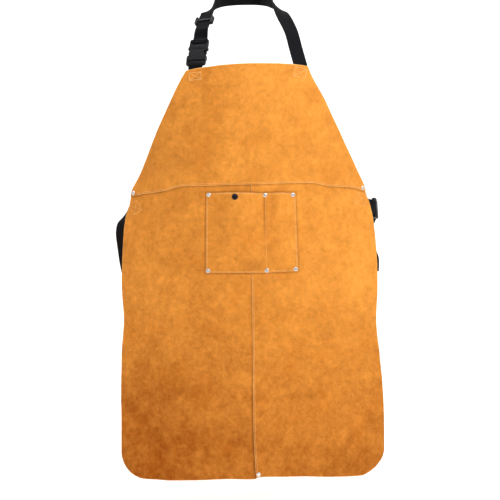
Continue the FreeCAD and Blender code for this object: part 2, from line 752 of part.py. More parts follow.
# ---------------------------------------------------------------- webbing
BAR_CLEAR = 0.3         # webbing off the female half's bar
LADDER_CLEAR = 0.35     # webbing off the ladder bar
LOOP_END = 77.0         # where the fold round the ladder bar ends, along the buckle
loop_leg = dims.ladder_bar_thk / 2 + LADDER_CLEAR + web_thk / 2


def resample(path, steps):
    """A smooth path with so many steps to a span of (point, width direction) stations."""
    last = len(path) - 1
    out = []
    for i in range(last):
        near = [path[max(0, min(last, i + k))] for k in (-1, 0, 1, 2)]
        for j in range(steps):
            t = j / float(steps)
            sample = []
            for column in (0, 1):
                before, start, end, after = (station[column] for station in near)
                chord = end - start
                len_before = len_span = len_after = 1.0
                if column == 0:
                    len_span = chord.Length
                    len_before = max((start - before).Length, 1e-6)
                    len_after = max((after - end).Length, 1e-6)
                rate = chord * (1 / len_span)
                m0 = m1 = chord
                if i > 0:
                    m0 = ((start - before) * (1 / len_before) + rate) * (0.5 * len_span)
                if i < last - 1:
                    m1 = (rate + (after - end) * (1 / len_after)) * (0.5 * len_span)
                sample.append(start * (2 * t ** 3 - 3 * t ** 2 + 1)
                              + m0 * (t ** 3 - 2 * t ** 2 + t)
                              + end * (3 * t ** 2 - 2 * t ** 3) + m1 * (t ** 3 - t ** 2))
            out.append(sample)
    out.append([Vector(path[-1][0]), Vector(path[-1][1])])
    return out


def strap(stations, steps=4, first=None, last=None):
    """Flat webbing along a path; first and last set the direction of its ends."""
    path = resample(stations, steps)
    count = len(path)
    lines = [[], [], [], []]
    for i, (point, wide) in enumerate(path):
        ahead = path[min(count - 1, i + 1)][0] - path[max(0, i - 1)][0]
        if i == 0 and first is not None:
            ahead = first
        if i == count - 1 and last is not None:
            ahead = last
        ahead = unit(ahead)
        wide = unit(wide - ahead * ahead.dot(wide))
        thick = unit(wide.cross(ahead))
        for line, (a, b) in zip(lines, ((1, 1), (-1, 1), (-1, -1), (1, -1))):
            line.append(point + wide * (a * web_wide / 2) + thick * (b * web_thk / 2))
    knots = [0.0]
    for i in range(1, count):
        knots.append(knots[-1] + (path[i][0] - path[i - 1][0]).Length)
    knots = [k / knots[-1] for k in knots]
    edges = []
    for line in lines:
        curve = Part.BSplineCurve()
        curve.interpolate(Points=line, Parameters=knots)
        edges.append(curve.toShape())
    faces = [Part.makeRuledSurface(edges[i], edges[(i + 1) % 4], 1) for i in range(4)]
    for end in (0, -1):
        corners = [line[end] for line in lines]
        faces.append(Part.Face(Part.makePolygon(corners + corners[:1])))
    return close(faces)


def prism(points):
    """A section in the local Y-Z plane, extruded to the width of the webbing."""
    corners = [Vector(-web_wide / 2, y, z) for y, z in points]
    face = Part.Face(Part.makePolygon(corners + corners[:1]))
    return face.extrude(Vector(web_wide, 0, 0))


def bar_fold():
    """Webbing end folded round the fixed bar of the female buckle."""
    inside = dims.bar_thk / 2 + BAR_CLEAR
    outside = inside + web_thk
    bend = dims.slot_start + 0.4
    outer = [(-6.0, -web_thk - 0.05), (-6.0, web_thk + 0.05), (-1.2, outside),
             (bend + 0.5, outside), (bend + web_thk, outside - 1.2),
             (bend + web_thk, -outside + 1.2), (bend + 0.5, -outside), (-1.2, -outside)]
    hole = [(-0.5, -inside), (-3.2, 0.0), (-0.5, inside), (bend, inside), (bend, -inside)]
    return prism(outer).cut(prism(hole))


def ladder_fold(place):
    """Webbing looped round the ladder bar of the male half, both legs to LOOP_END."""
    inside = dims.ladder_bar_thk / 2 + LADDER_CLEAR
    outside = inside + web_thk
    bend = dims.ladder_two - 0.5
    back = bend - web_thk
    solid = prism([(bend, inside), (LOOP_END, inside), (LOOP_END, outside),
                   (back + 1.0, outside), (back, outside - 1.0), (back, -outside + 1.0),
                   (back + 1.0, -outside), (LOOP_END, -outside), (LOOP_END, -inside),
                   (bend, -inside)])
    solid.Placement = place
    return solid


def buckle(name, place):
    """Both halves, the prongs and the short strap on the female half's bar."""
    buckle_female(name + "_buckle_female", place)
    buckle_male(name + "_buckle_male", place)
    prong(name + "_prong_left", -1, place)
    prong(name + "_prong_right", 1, place)
    feature(name + "_strap_short", bar_fold(), place)


def behind(rows, dx, dz):
    """Stations behind the leather; a row is (x, z, clearance), (dx, dz) the width direction."""
    return [(surface_point(x, z, -gap - web_thk / 2 - clear),
             Vector(dx, slope_y(x, z, dx, dz), dz)) for x, z, clear in rows]


def stations(rows):
    """Stations from rows of point x, y, z and width direction x, y, z."""
    return [(Vector(*row[:3]), Vector(*row[3:])) for row in rows]


# ---------------------------------------------------------------- neck strap
# Buckle frame: local Y runs up the strap, local Z faces the front
neck_up = unit(Vector(0.130, 0.469, 0.872))
neck = frame(Vector(-120.4, -81.9, 275.4), Vector(0.95, -0.312, 0.0), neck_up)
neck_wide = neck.Rotation.multVec(X_AXIS)

# the slider sits where the strap has started to turn round the shoulder
SLIDER_CENTRE = Vector(-102.0, -31.0, 384.4)
slider_up = unit(Vector(0.21, 0.56, 0.80))
slide = frame(SLIDER_CENTRE - slider_up * (dims.slider_start + dims.slider_long / 2),
              Vector(0.92, -0.40, 0.05), slider_up)
slide_wide = slide.Rotation.multVec(X_AXIS)
slide_leg = 0.15 + web_thk / 2      # webbing off the slider's centre plane

# Top of the right anchor
RIGHT_END = Vector(114.8, -85.2, 276.6)
RIGHT_WIDE = Vector(-0.93, -0.28, -0.235)
right_up = unit(Vector(-0.235, 0.30, 0.925))

# Round the neck from left to right: point x, y, z, then width direction x, y, z
NECK_ROUND = [
    (-85.5, 7.0, 420.5, 0.22, -0.70, 0.5),
    (-76.5, 30.0, 435.5, 0.0, -0.72, 0.6),
    (-57, 58, 448, 0.0, -0.5, 0.8),
    (-32, 78, 455, 0, -0.28, 0.95),
    (-6, 84, 457, 0, -0.25, 0.97),
    (20, 76, 455, 0, -0.3, 0.95),
    (39, 54, 448, 0.0, -0.55, 0.8),
    (52, 24, 437, 0.0, -0.72, 0.6),
    (63.5, -8.0, 421, -0.5, -0.55, 0.3),
    (77.5, -38.0, 394, -0.93, -0.18, -0.1),
]


def neck_loop():
    """From the ladder bar to the slider, in a front leg and a shorter back leg."""
    legs = []
    for side, stop in ((1, 126.0), (-1, 98.0)):
        path = [(along(neck, LOOP_END, side * loop_leg), neck_wide)]
        path += [(along(slide, y, side * slide_leg), slide_wide) for y in (84.0, 90.0, stop)]
        legs.append(strap(path, first=neck_up, last=slider_up))
    return ladder_fold(neck).fuse(legs).removeSplitter()


def neck_anchor_left():
    path = behind([(-121.6, 238.0, 1.3), (-120.6, 250.0, 1.3), (-119.6, 260.0, 1.3)], 1, -0.12)
    path += [(along(neck, -9.6, -0.5), neck_wide), (along(neck, -6.4), neck_wide)]
    return strap(path, last=neck_up)


def neck_anchor_right():
    path = behind([(117.6, 242.0, 1.3), (116.8, 255.0, 1.3), (115.6, 266.0, 1.3)], -1, -0.2)
    path += [(RIGHT_END + right_up * up, RIGHT_WIDE) for up in (0.0, 6.0)]
    return strap(path, last=right_up)


def neck_long():
    """From the slider round the neck and down to the right anchor."""
    path = [(along(slide, y, -slide_leg), slide_wide) for y in (98.3, 108, 120, 130, 138)]
    path += stations(NECK_ROUND)
    path += [(RIGHT_END + right_up * up, RIGHT_WIDE) for up in (84.0, 44.0, 6.5)]
    return strap(path, first=slider_up, last=-right_up)


buckle("neck", neck)
slider("neck_slider", slide)
feature("neck_strap_loop", neck_loop())
feature("neck_strap_anchor_left", neck_anchor_left())
feature("neck_strap_anchor_right", neck_anchor_right())
feature("neck_strap_long", neck_long())

# ---------------------------------------------------------------- waist belt
# Buckle frame: local Y runs back round the hip, local Z faces outward
waist_back = unit(Vector(0.15, 0.985, -0.04))
waist = frame(Vector(287.5, -4.0, -41.0), Vector(0.05, -0.12, -0.98), waist_back)
waist_wide = waist.Rotation.multVec(X_AXIS)
waist_out = waist.Rotation.multVec(UP)

# Point x, y, z, then width direction x, y, z
LEFT_TAB_END = [
    (-279.5, -17.5, -52.5, 0.5, 0.08, 0.9),
    (-285.8, -8.5, -59.0, 0.55, 0.5, 0.8),
]
# From the left tab round the back to the male half
BELT = [
    (-292.5, 2.5, -71.0, 0.64, 0.70, 0.5),
    (-297.0, 13.0, -95.0, 0.66, 0.76, 0.15),
    (-294.5, 25.0, -130.0, 0.66, 0.76, 0.15),
    (-290.5, 38.0, -168.0, 0.62, 0.76, 0.25),
    (-283.0, 62.0, -203.0, 0.5, 0.6, 0.6),
    (-258.0, 102.0, -230.0, 0.2, 0.3, 0.93),
    (-190.0, 142.0, -243.0, 0, 0.1, 1),
    (-100.0, 167.0, -250.0, 0, 0.05, 1),
    (0.0, 175.0, -251.0, 0, 0.0, 1),
    (110.0, 168.0, -243.0, 0, 0.05, 1),
    (205.0, 148.0, -218.0, 0.05, 0.1, 1),
    (257.0, 141.0, -160.0, 0.0, 0.45, 0.9),
    (284.0, 128.0, -100.0, 0.0, 0.5, 0.85),
    (298.0, 105.0, -57.0, 0.0, 0.35, 0.93),
]
BELT_STEPS = 4
BELT_SPLIT = 13         # belt station where the loop's piece takes over
# The free end, hanging down after its turn
HANG = [
    (287.0, 84.6, -86.3, -0.10, -0.88, 0.46), (284.6, 78.3, -102.0, 0.08, -0.93, 0.36),
    (284.4, 74.8, -120.0, 0.28, -0.94, 0.18), (289.4, 72.2, -140.0, 0.50, -0.85, 0.10),
    (294.3, 70.7, -158.0, 0.62, -0.78, 0.05), (294.4, 69.8, -174.0, 0.66, -0.75, 0.0),
    (293.9, 69.2, -189.0, 0.66, -0.75, 0.0),
]


def waist_anchor_right():
    path = behind([(240.0, -28.0, 1.3), (252.0, -30.0, 1.5), (263.5, -33.0, 1.9)], 0.17, -1)
    path += [(along(waist, y), waist_wide) for y in (-11.0, -6.4)]
    return strap(path, last=waist_back)


def waist_left_and_belt():
    """Left corner tab, then the belt; its last reach is one piece with the loop."""
    tab = behind([(-243.0, -34.0, 1.3), (-255.0, -39.0, 1.6), (-266.0, -45.5, 2.4)], 0.40, 1)
    tab += stations(LEFT_TAB_END)
    tab_end, tab_wide = tab[-1]
    tab_ahead = unit(tab_end - tab[-2][0])
    feature("waist_strap_anchor_left", strap(tab, last=tab_ahead))

    belt = [(tab_end + tab_ahead * 0.9, tab_wide)] + stations(BELT)
    belt += [(along(waist, y, loop_leg), -waist_wide) for y in (86, LOOP_END)]
    path = resample(belt, BELT_STEPS)
    split = BELT_STEPS * BELT_SPLIT
    ahead = unit(path[split + 1][0] - path[split - 1][0])
    split_point, split_wide = path[split]
    rear = path[:split] + [[split_point - ahead * 0.3, split_wide]]
    feature("waist_strap_long", strap(rear, steps=1, first=tab_ahead, last=ahead))

    lead = strap(path[split:], steps=1, first=ahead, last=-waist_back)
    loop = ladder_fold(waist).fuse(lead)
    if len(loop.Solids) != 1:
        raise RuntimeError("the belt's loop isn't one solid")
    feature("waist_strap_loop", loop.Solids[0])


def down_turn():
    """An edgewise turn whose curvature grows and dies away over the ramps."""
    radius, angle, ramp, inward = 18.0, math.radians(115), 5.0, 13.5
    length = radius * angle + ramp
    count = int(round(length / 2.0)) * 2
    step = length / count
    point = along(waist, LOOP_END + 0.4, -loop_leg)
    heading = 0.0
    out = []
    for i in range(count + 1):
        if i % 2 == 0:
            out.append([point - waist_out * (inward * smooth(i / float(count))),
                        waist_wide * math.cos(heading) - waist_back * math.sin(heading)])
        travel = (i + 0.5) * step
        bend = min(1.0, travel / ramp, (length - travel) / ramp) / radius
        middle = heading + bend * step / 2
        point = point + (waist_back * math.cos(middle) + waist_wide * math.sin(middle)) * step
        heading += bend * step
    return out


def waist_tail():
    """The free end turns down on its edge and hangs in front of the belt."""
    turn = down_turn()
    # the span before the hang only steers the curve, so its samples are left out
    hang = resample([turn[-3], turn[-1]] + stations(HANG), 4)[4:]
    return strap(turn[:-1] + hang, steps=1, first=waist_back)


buckle("waist", waist)
feature("waist_strap_anchor_right", waist_anchor_right())
waist_left_and_belt()
feature("waist_strap_tail", waist_tail())

# ---------------------------------------------------------------- export
doc.recompute()
for obj in doc.Objects:
    if "Invalid" in obj.State or "Error" in obj.State:
        raise RuntimeError("failed object: %s %s" % (obj.Label, obj.State))
os.makedirs("parts", exist_ok=True)
for node in nodes:
    shape = node.Shape
    if shape.isNull() or not shape.isValid() or not shape.Solids or shape.Volume <= 0:
        raise RuntimeError("bad shape: " + node.Label)
    shape.exportStep("parts/%s.step" % node.Label)
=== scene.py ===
"""A split-suede apron, shaped as if worn: a bib, a skirt in two overlapping panels, a divided
pocket, black webbing straps at neck and waist with side-release buckles, rivets and a snap.

Lengths are in millimetres and meshes are scaled to metres. x runs right as seen from the
front, y runs backwards (the front faces -y) and z runs up, with the waist seam near z = 0.
Left and right are as seen from the front.
"""
import bmesh
import bpy
import math
import numpy as np
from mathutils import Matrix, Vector, noise


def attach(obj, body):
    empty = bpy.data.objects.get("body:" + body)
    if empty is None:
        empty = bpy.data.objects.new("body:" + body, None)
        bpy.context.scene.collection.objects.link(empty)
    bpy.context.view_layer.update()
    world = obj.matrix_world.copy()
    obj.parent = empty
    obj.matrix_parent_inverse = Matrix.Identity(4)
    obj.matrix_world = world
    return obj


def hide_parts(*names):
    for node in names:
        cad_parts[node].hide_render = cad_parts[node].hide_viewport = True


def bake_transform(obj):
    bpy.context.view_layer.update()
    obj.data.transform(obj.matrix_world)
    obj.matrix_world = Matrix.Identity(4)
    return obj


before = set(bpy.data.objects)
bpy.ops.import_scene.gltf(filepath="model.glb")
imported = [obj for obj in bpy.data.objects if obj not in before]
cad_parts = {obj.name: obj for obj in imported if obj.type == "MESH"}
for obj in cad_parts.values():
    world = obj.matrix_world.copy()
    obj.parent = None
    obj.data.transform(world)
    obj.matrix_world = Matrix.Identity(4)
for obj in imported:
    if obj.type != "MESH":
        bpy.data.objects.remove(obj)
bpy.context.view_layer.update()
MM = 0.001

LEATHER = 1.6               # thickness of the hide
GAP = 0.4                   # air between two layers
LAYER = LEATHER + GAP
LAP = 12.0                  # overlap of two panels
WEB_WIDTH = 32.0
WEB_THICK = 1.7
STEP = 3.2   # mesh spacing on the large panels
POCKET_STEP = 2.2
EDGE_STEPS = [0.7, 0.9, 1.3, 2.0]   # mesh spacings beside an edge
HEM_CORNER = 58.0           # height of the rounded hem corners
WAIST_INSET = 4.0           # stitches from the bib's lower edge
SEAM_INSET = 3.6            # stitches from the right skirt panel's edge
POCKET_INSET = 3.2          # stitches from the pocket's sides and bottom


# ------------------------------------------------------------------ outlines
class Curve:
    """Monotone cubic through (place, value) stations, straight beyond its ends."""

    def __init__(self, stations):
        self.place, self.value = np.array(sorted(stations), float).T
        gap = np.diff(self.place)
        rate = np.diff(self.value) / gap
        self.slope = np.zeros(len(self.place))
        self.slope[0], self.slope[-1] = rate[0], rate[-1]
        for i in range(1, len(rate)):
            if rate[i - 1] * rate[i] > 0:
                before, after = 2 * gap[i] + gap[i - 1], gap[i] + 2 * gap[i - 1]
                self.slope[i] = (before + after) / (before / rate[i - 1] + after / rate[i])

    def __call__(self, t):
        t = np.asarray(t, float)
        place, value, slope = self.place, self.value, self.slope
        k = np.clip(np.searchsorted(place, t, side="left") - 1, 0, len(place) - 2)
        gap = place[k + 1] - place[k]
        u = (t - place[k]) / gap
        result = ((1 + 2 * u) * (1 - u) ** 2 * value[k] + u * (1 - u) ** 2 * gap * slope[k]
                  + u * u * (3 - 2 * u) * value[k + 1] + u * u * (u - 1) * gap * slope[k + 1])
        result = np.where(t <= place[0], value[0] + slope[0] * (t - place[0]), result)
        return np.where(t >= place[-1], value[-1] + slope[-1] * (t - place[-1]), result)


# the ideal body surface; columns z, length
WRAP_DEPTH = Curve([(-643, 60), (-450, 62), (-320, 64), (-200, 72), (-120, 86), (-60, 100),
                    (0, 104), (60, 84), (130, 60), (200, 38), (273, 22)])
FRONT_Y = Curve([(-643, -140), (-450, -142), (-320, -140), (-200, -136), (-120, -133),
                 (-60, -131), (0, -130), (60, -130), (130, -127), (200, -119), (273, -104)])
HALF_WIDTH = Curve([(-643, 290), (-400, 288), (-200, 288), (-120, 284), (-60, 278), (0, 264),
                    (60, 236), (130, 203), (200, 170), (273, 135)])
# upright edges; columns z, x
LEFT = Curve([(267, -139.5), (239, -155.7), (185, -181.1), (131, -206.3), (85, -226.4),
              (35, -247.5), (10, -260.5), (-11, -268.4), (-25, -270.6), (-41, -273.9),
              (-62, -281.0), (-104, -285.2), (-174, -286.3), (-207, -287.2), (-241, -285.4),
              (-293, -280.6), (-336, -283.0), (-378, -285.8), (-464, -286.9), (-550, -285.6),
              (-654, -285.1)])
RIGHT = Curve([(274, 131.1), (253, 139.6), (207, 165.3), (149, 193.4), (99, 217.4),
               (54, 240.0), (19, 257.0), (1, 263.4), (-13, 267.4), (-34, 275.4), (-81, 283.8),
               (-127, 287.3), (-187, 289.5), (-228, 289.2), (-283, 286.2), (-314, 286.8),
               (-378, 293.6), (-442, 300.4), (-542, 305.3), (-649, 306.0)])
SEAM = Curve([(20, 4.2), (-150, 4.3), (-205, 6.4), (-289, 7.5), (-353, 8.5), (-458, 9.1),
              (-542, 10.4), (-630, 15.2), (-650, 17.6)])
POCKET_LEFT = Curve([(-12, -93.7), (-90, -94.6), (-190, -95.4)])
POCKET_RIGHT = Curve([(-12, 101.7), (-90, 104.4), (-190, 108.5)])
# level edges; columns x, z
WAIST = Curve([(-272, -15.8), (-258, -15.4), (-240, -12.8), (-221.7, -11.1), (-201.3, -8.6),
               (-181.3, -5.6), (-165.4, -1.2), (-148, 2.4), (-125, 3.2), (-96.6, 3.4),
               (-42.2, 4.5), (24.1, 6.4), (90.6, 8.9), (132, 9.9), (145.3, 9.4), (156, 7.8),
               (167, 5.6), (183.5, 3.6), (222.6, 2.6), (240, 0.8), (256, -3.6), (272, -5.4)])
TOP = Curve([(-139.5, 264.0), (-114.4, 267.9), (-87.3, 270.8), (-60.5, 273.7), (-20.3, 276.4),
             (6.5, 277.3), (60, 277.4), (91.4, 276.6), (113.9, 275.1), (131, 273.2)])
HEM_LEFT = Curve([(-287.6, -648.6), (-220.4, -649.5), (-191, -649.0), (-126.1, -646.8),
                  (-20, -643.7), (13, -643.3), (18.5, -640.2), (32, -638.6)])
HEM_RIGHT = Curve([(8, -638.6), (25.6, -638.3), (134.5, -639.8), (199.5, -641.6),
                   (265.9, -642.4), (307.6, -644.0)])
POCKET_TOP = Curve([(-94, -12.6), (-30, -12.9), (35, -13.1), (102, -12.2)])
POCKET_BOTTOM = Curve([(-96, -190.0), (2, -189.4), (109, -186.2)])

# fixings; columns x, z
POCKET_RIVETS = [(-88.6, -17.2), (35.3, -18.0), (96.0, -17.2),
                 (-90.0, -184.8), (38.9, -184.4), (102.4, -181.2)]
SEAM_RIVETS = [(-261.6, -10.2), (256.6, 1.8), (float(SEAM(-632.8)) + 5.6, -632.8)]
RIVETS = POCKET_RIVETS + SEAM_RIVETS
SNAP = (-31.2, -21.9)
# where the webbing is sewn on: centre x, z, half width, half height, turn in degrees
NECK_PATCHES = [(-120.2, 249.5, 13.2, 8.6, 4.0), (113.8, 257.5, 13.2, 11.0, -13.0)]
WAIST_PATCHES = [(-257.5, -43.0, 10.5, 12.5, 32.0), (253.5, -24.0, 11.5, 13.0, -14.0)]


# ------------------------------------------------------------------ surface
def ease(t):
    t = np.clip(t, 0.0, 1.0)
    return t * t * (3 - 2 * t)


def body_y(x, z):
    return FRONT_Y(z) + WRAP_DEPTH(z) * (np.abs(x) / HALF_WIDTH(z)) ** 2.6


def body_normal(x, z):
    reach = 0.5
    slope_x = (body_y(x + reach, z) - body_y(x - reach, z)) / (2 * reach)
    slope_z = (body_y(x, z + reach) - body_y(x, z - reach)) / (2 * reach)
    normal = np.stack([slope_x, -np.ones_like(slope_x), slope_z], -1)
    return normal / np.linalg.norm(normal, axis=-1, keepdims=True)


def on_body(x, z, offset):
    """Points the given offset in front of the body surface."""
    x, z, offset = (np.asarray(value, float) for value in (x, z, offset))
    return np.stack([x, body_y(x, z), z], -1) + body_normal(x, z) * offset[..., None]


def flat(x, z):
    return np.zeros_like(x)


def seam_cover(x, z):
    """Lift of the right skirt panel where it laps over the left one."""
    seam = SEAM(z)
    return LAYER * ease((x - (seam - 26)) / 26) * (1 - ease((x - (seam + LAP + 1)) / 22))


def bib_offset(x, z):
    """Lift of the bib over the skirt, easing away above the lap."""
    return (LAYER + seam_cover(x, z)) * (1 - ease((z - (WAIST(x) + LAP + 1)) / 26))


def pocket_bulge(x, z):
    """Swell of the pocket's two compartments."""
    down = 1 - (z + 190.0) / 177.0
    # left end, right end, height
    compartments = ((-82.0 - 1.5 * down, 28.2 + 3.5 * down, 14.0),
                    (42.8 + 3.5 * down, 88.5 + 5.5 * down, 9.0))
    rise = np.zeros_like(x)
    for start, end, high in compartments:
        u = np.clip((x - start) / (end - start), 0, 1)
        rise = np.maximum(rise, high * np.abs(np.sin(math.pi * u)) ** 1.4)
    up = np.clip((z + 178.0) / 165.0, 0, 10)
    return rise * np.sin(np.minimum(1.0, up / 0.75) * math.pi / 2) ** 1.3


def pocket_offset(x, z):
    return LAYER + seam_cover(x, z) + pocket_bulge(x, z)


def divider_x(z):
    """The stitched line between the pocket's two compartments."""
    return 35.3 + 3.6 * (-12.0 - z) / 178.0


def soft_noise(x, z, size_x, size_z, seed):
    """Smooth noise from about -1 to 1."""
    points = zip(np.ravel(x) / size_x, np.ravel(z) / size_z)
    values = np.fromiter((noise.noise(Vector((a, b, seed))) for a, b in points), float,
                         np.size(x))
    return values.reshape(np.shape(x))


# overall unevenness: height, then noise size in x and z, seed
UNEVENNESS = [(1.7, 120, 150, 3.1), (0.75, 46, 60, 7.7), (0.20, 15, 18, 1.3)]
# slack folds growing towards the hem: depth below the waist where they start, length of
# growth, height, sideways wander, (noise size in x and z, seed), wavelength, phase
FOLDS = [(230, 430, 4.2, 26, (220, 260, 9.9), 172, 0.7),
         (420, 240, 1.4, 18, (150, 200, 5.2), 83, 2.1)]
# soft creases of the hide: end (x, z), other end (x, z), height, half width
CREASES = [
    ((-96, -528), (-6, -537), -2.2, 11.0), ((-78, -560), (-4, -552), -1.6, 9.0),
    ((28, -548), (92, -530), -1.3, 10.0), ((-268, -300), (-196, -322), -1.8, 14.0),
    ((-276, -352), (-226, -338), 1.5, 12.0), ((282, -296), (214, -318), -1.7, 14.0),
    ((292, -362), (238, -344), 1.2, 12.0), ((-240, -470), (-150, -505), -1.6, 16.0),
    ((150, -455), (226, -492), -1.4, 16.0), ((-215, 36), (-160, 62), -1.2, 12.0),
    ((196, 44), (150, 72), -1.1, 12.0), ((-70, 205), (-10, 214), -0.9, 13.0),
    ((40, 150), (96, 128), -0.9, 14.0), ((-180, -70), (-128, -92), -1.2, 12.0),
    ((150, -78), (214, -60), -1.1, 12.0), ((-140, -235), (-70, -250), -1.1, 13.0),
    ((120, -240), (186, -262), -1.2, 13.0), ((-55, -410), (-14, -425), -1.0, 9.0),
]
# thread tension puckers the leather along the seams
PUCKER, PUCKER_REACH = 0.28, 7.0
SEAM_PUCKER_WAVE, WAIST_PUCKER_WAVE = 9.5, 9.0


def relief(x, z):
    """How the hide stands off its ideal surface, shared by every layer."""
    shape = np.shape(x)
    x, z = np.ravel(x).astype(float), np.ravel(z).astype(float)
    rise = sum(high * soft_noise(x, z, *field) for high, *field in UNEVENNESS)
    for start, growth, high, wander, field, wave, phase in FOLDS:
        place = x + wander * soft_noise(x, z, *field)
        rise += ease((-z - start) / growth) * high * np.sin(2 * math.pi * place / wave + phase)
    wander = 5 * soft_noise(x, z, 60, 60, 2.2)
    for (x0, z0), (x1, z1), high, wide in CREASES:
        dx, dz = x1 - x0, z1 - z0
        length = math.hypot(dx, dz)
        along = ((x - x0) * dx + (z - z0) * dz) / length
        aside = (-(x - x0) * dz + (z - z0) * dx) / length + wander
        rise += (high * np.exp(-(aside / wide) ** 2)
                 * ease((along + 25) / 45) * ease((length + 25 - along) / 45))
    rise += (PUCKER * np.sin(2 * math.pi * z / SEAM_PUCKER_WAVE)
             * np.exp(-((x - SEAM(z) - SEAM_INSET) / PUCKER_REACH) ** 2) * (z < 5))
    rise += (PUCKER * np.sin(2 * math.pi * x / WAIST_PUCKER_WAVE)
             * np.exp(-((z - WAIST(x) - WAIST_INSET) / PUCKER_REACH) ** 2))
    # the hide lies flat at its fixings and calmer under the pocket
    loose = np.ones_like(x)
    for reach, places in ((19.0, RIVETS), (24.0, [SNAP])):
        for px, pz in places:
            loose *= 1 - np.exp(-(((x - px) ** 2 + (z - pz) ** 2) / reach ** 2))
    for px, pz, *_ in NECK_PATCHES + WAIST_PATCHES:
        loose *= 1 - np.exp(-(((x - px) / 34.0) ** 2 + ((z - pz) / 30.0) ** 2) ** 1.5)
    pocket = (ease((x + 100) / 14) * ease((112 - x) / 14)
              * ease((z + 196) / 14) * ease((2 - z) / 14))
    loose *= 1 - 0.55 * pocket
    return (rise * loose).reshape(shape)


def tone(x, z):
    """How much darker the hide is painted, partly its own browner colour and partly painted
    shade: towards the hem, and on the wearer's right, away from the light.
    """
    # painted shade on the wearer's right, away from the light
    dark = 0.28 * ease((60 - x) / 200)
    # the middle below the waist
    dark = dark + 0.16 * ease((-z - 10) / 60) * np.exp(-((x - 10) / 120) ** 2)
    # the skirt, more so at its sides: browner hide and painted shade together
    dark = dark + np.clip((-z - 200) / 420, 0, 1.05) * (0.56 + 0.28 * ease(np.abs(x) / 260))
    # patches of painted shade at the creases: amount, centre x, reach in x, centre z, reach in z
    for amount, px, reach_x, pz, reach_z in ((0.10, -235, 60, 40, 110), (0.10, -75, 40, 215, 70),
                                             (0.14, -60, 60, -545, 26)):
        dark = dark + amount * np.exp(-((x - px) / reach_x) ** 2 - ((z - pz) / reach_z) ** 2)
    return 0.10 + 0.85 * dark


# ------------------------------------------------------------------ materials
class Shader:
    """A new material with a principled surface, and short ways to add its nodes."""

    def __init__(self, name):
        self.mat = bpy.data.materials.new(name)
        self.mat.use_nodes = True
        self.tree = self.mat.node_tree
        self.tree.nodes.clear()
        self.out = self.node("OutputMaterial")
        self.bsdf = self.node("BsdfPrincipled")
        self.tree.links.new(self.bsdf.outputs[0], self.out.inputs[0])

    def node(self, kind, **inputs):
        node = self.tree.nodes.new("ShaderNode" + kind)
        self.fill(node, inputs)
        return node

    def fill(self, node, inputs):
        for key, value in inputs.items():
            self.put(node.inputs[key.replace("_", " ")], value)

    def put(self, socket, value):
        if isinstance(value, bpy.types.NodeSocket):
            self.tree.links.new(value, socket)
        else:
            socket.default_value = value

    def noise(self, vector, scale, detail=4.0, rough=0.55, distort=0.0):
        return self.node("TexNoise", Vector=vector, Scale=scale, Detail=detail,
                         Roughness=rough, Distortion=distort).outputs[0]

    def attribute(self, name):
        node = self.node("Attribute")
        node.attribute_name = name
        return node.outputs["Fac"]

    def coords(self, scale=(1, 1, 1), turn=(0, 0, 0)):
        place = self.node("TexCoord").outputs["Object"]
        return self.node("Mapping", Vector=place, Scale=scale, Rotation=turn).outputs[0]

    def math(self, operation, *values):
        node = self.node("Math")
        node.operation = operation
        for socket, value in zip(node.inputs, values):
            self.put(socket, value)
        return node.outputs[0]

    def ramp(self, value, start, end, before=0.0, after=1.0):
        node = self.node("MapRange")
        node.interpolation_type = "SMOOTHSTEP"
        self.fill(node, {"Value": value, "From Min": start, "From Max": end,
                         "To Min": before, "To Max": after})
        return node.outputs["Result"]

    def mix(self, fac, first, second):
        node = self.node("Mix")
        node.data_type = "RGBA"
        self.put(node.inputs[0], fac)
        for i, value in ((6, first), (7, second)):
            if not isinstance(value, bpy.types.NodeSocket):
                value = (*value, 1.0)
            self.put(node.inputs[i], value)
        return node.outputs[2]

    def tint(self, colour, mask, amount, towards):
        return self.mix(self.math("MULTIPLY", mask, amount), colour, towards)

    def centred(self, value, gain):
        """A 0 to 1 value made to swing about zero."""
        return self.math("MULTIPLY", self.math("SUBTRACT", value, 0.5), gain)

    def vary(self, base, value, gain):
        return self.math("ADD", base, self.math("MULTIPLY", value, gain))

    def bumps(self, *layers):
        """Stacked bumps; each layer is height, distance in metres, strength."""
        normal = None
        for height, distance, strength in layers:
            node = self.node("Bump", Strength=strength, Distance=distance, Height=height)
            if normal is not None:
                self.put(node.inputs["Normal"], normal)
            normal = node.outputs[0]
        return normal

    def finish(self, **inputs):
        self.fill(self.bsdf, inputs)
        return self.mat


def srgb(*channels):
    """sRGB bytes to linear."""
    return tuple((c / 255 / 12.92) if c / 255 <= 0.04045 else ((c / 255 + 0.055) / 1.055) ** 2.4
                 for c in channels)


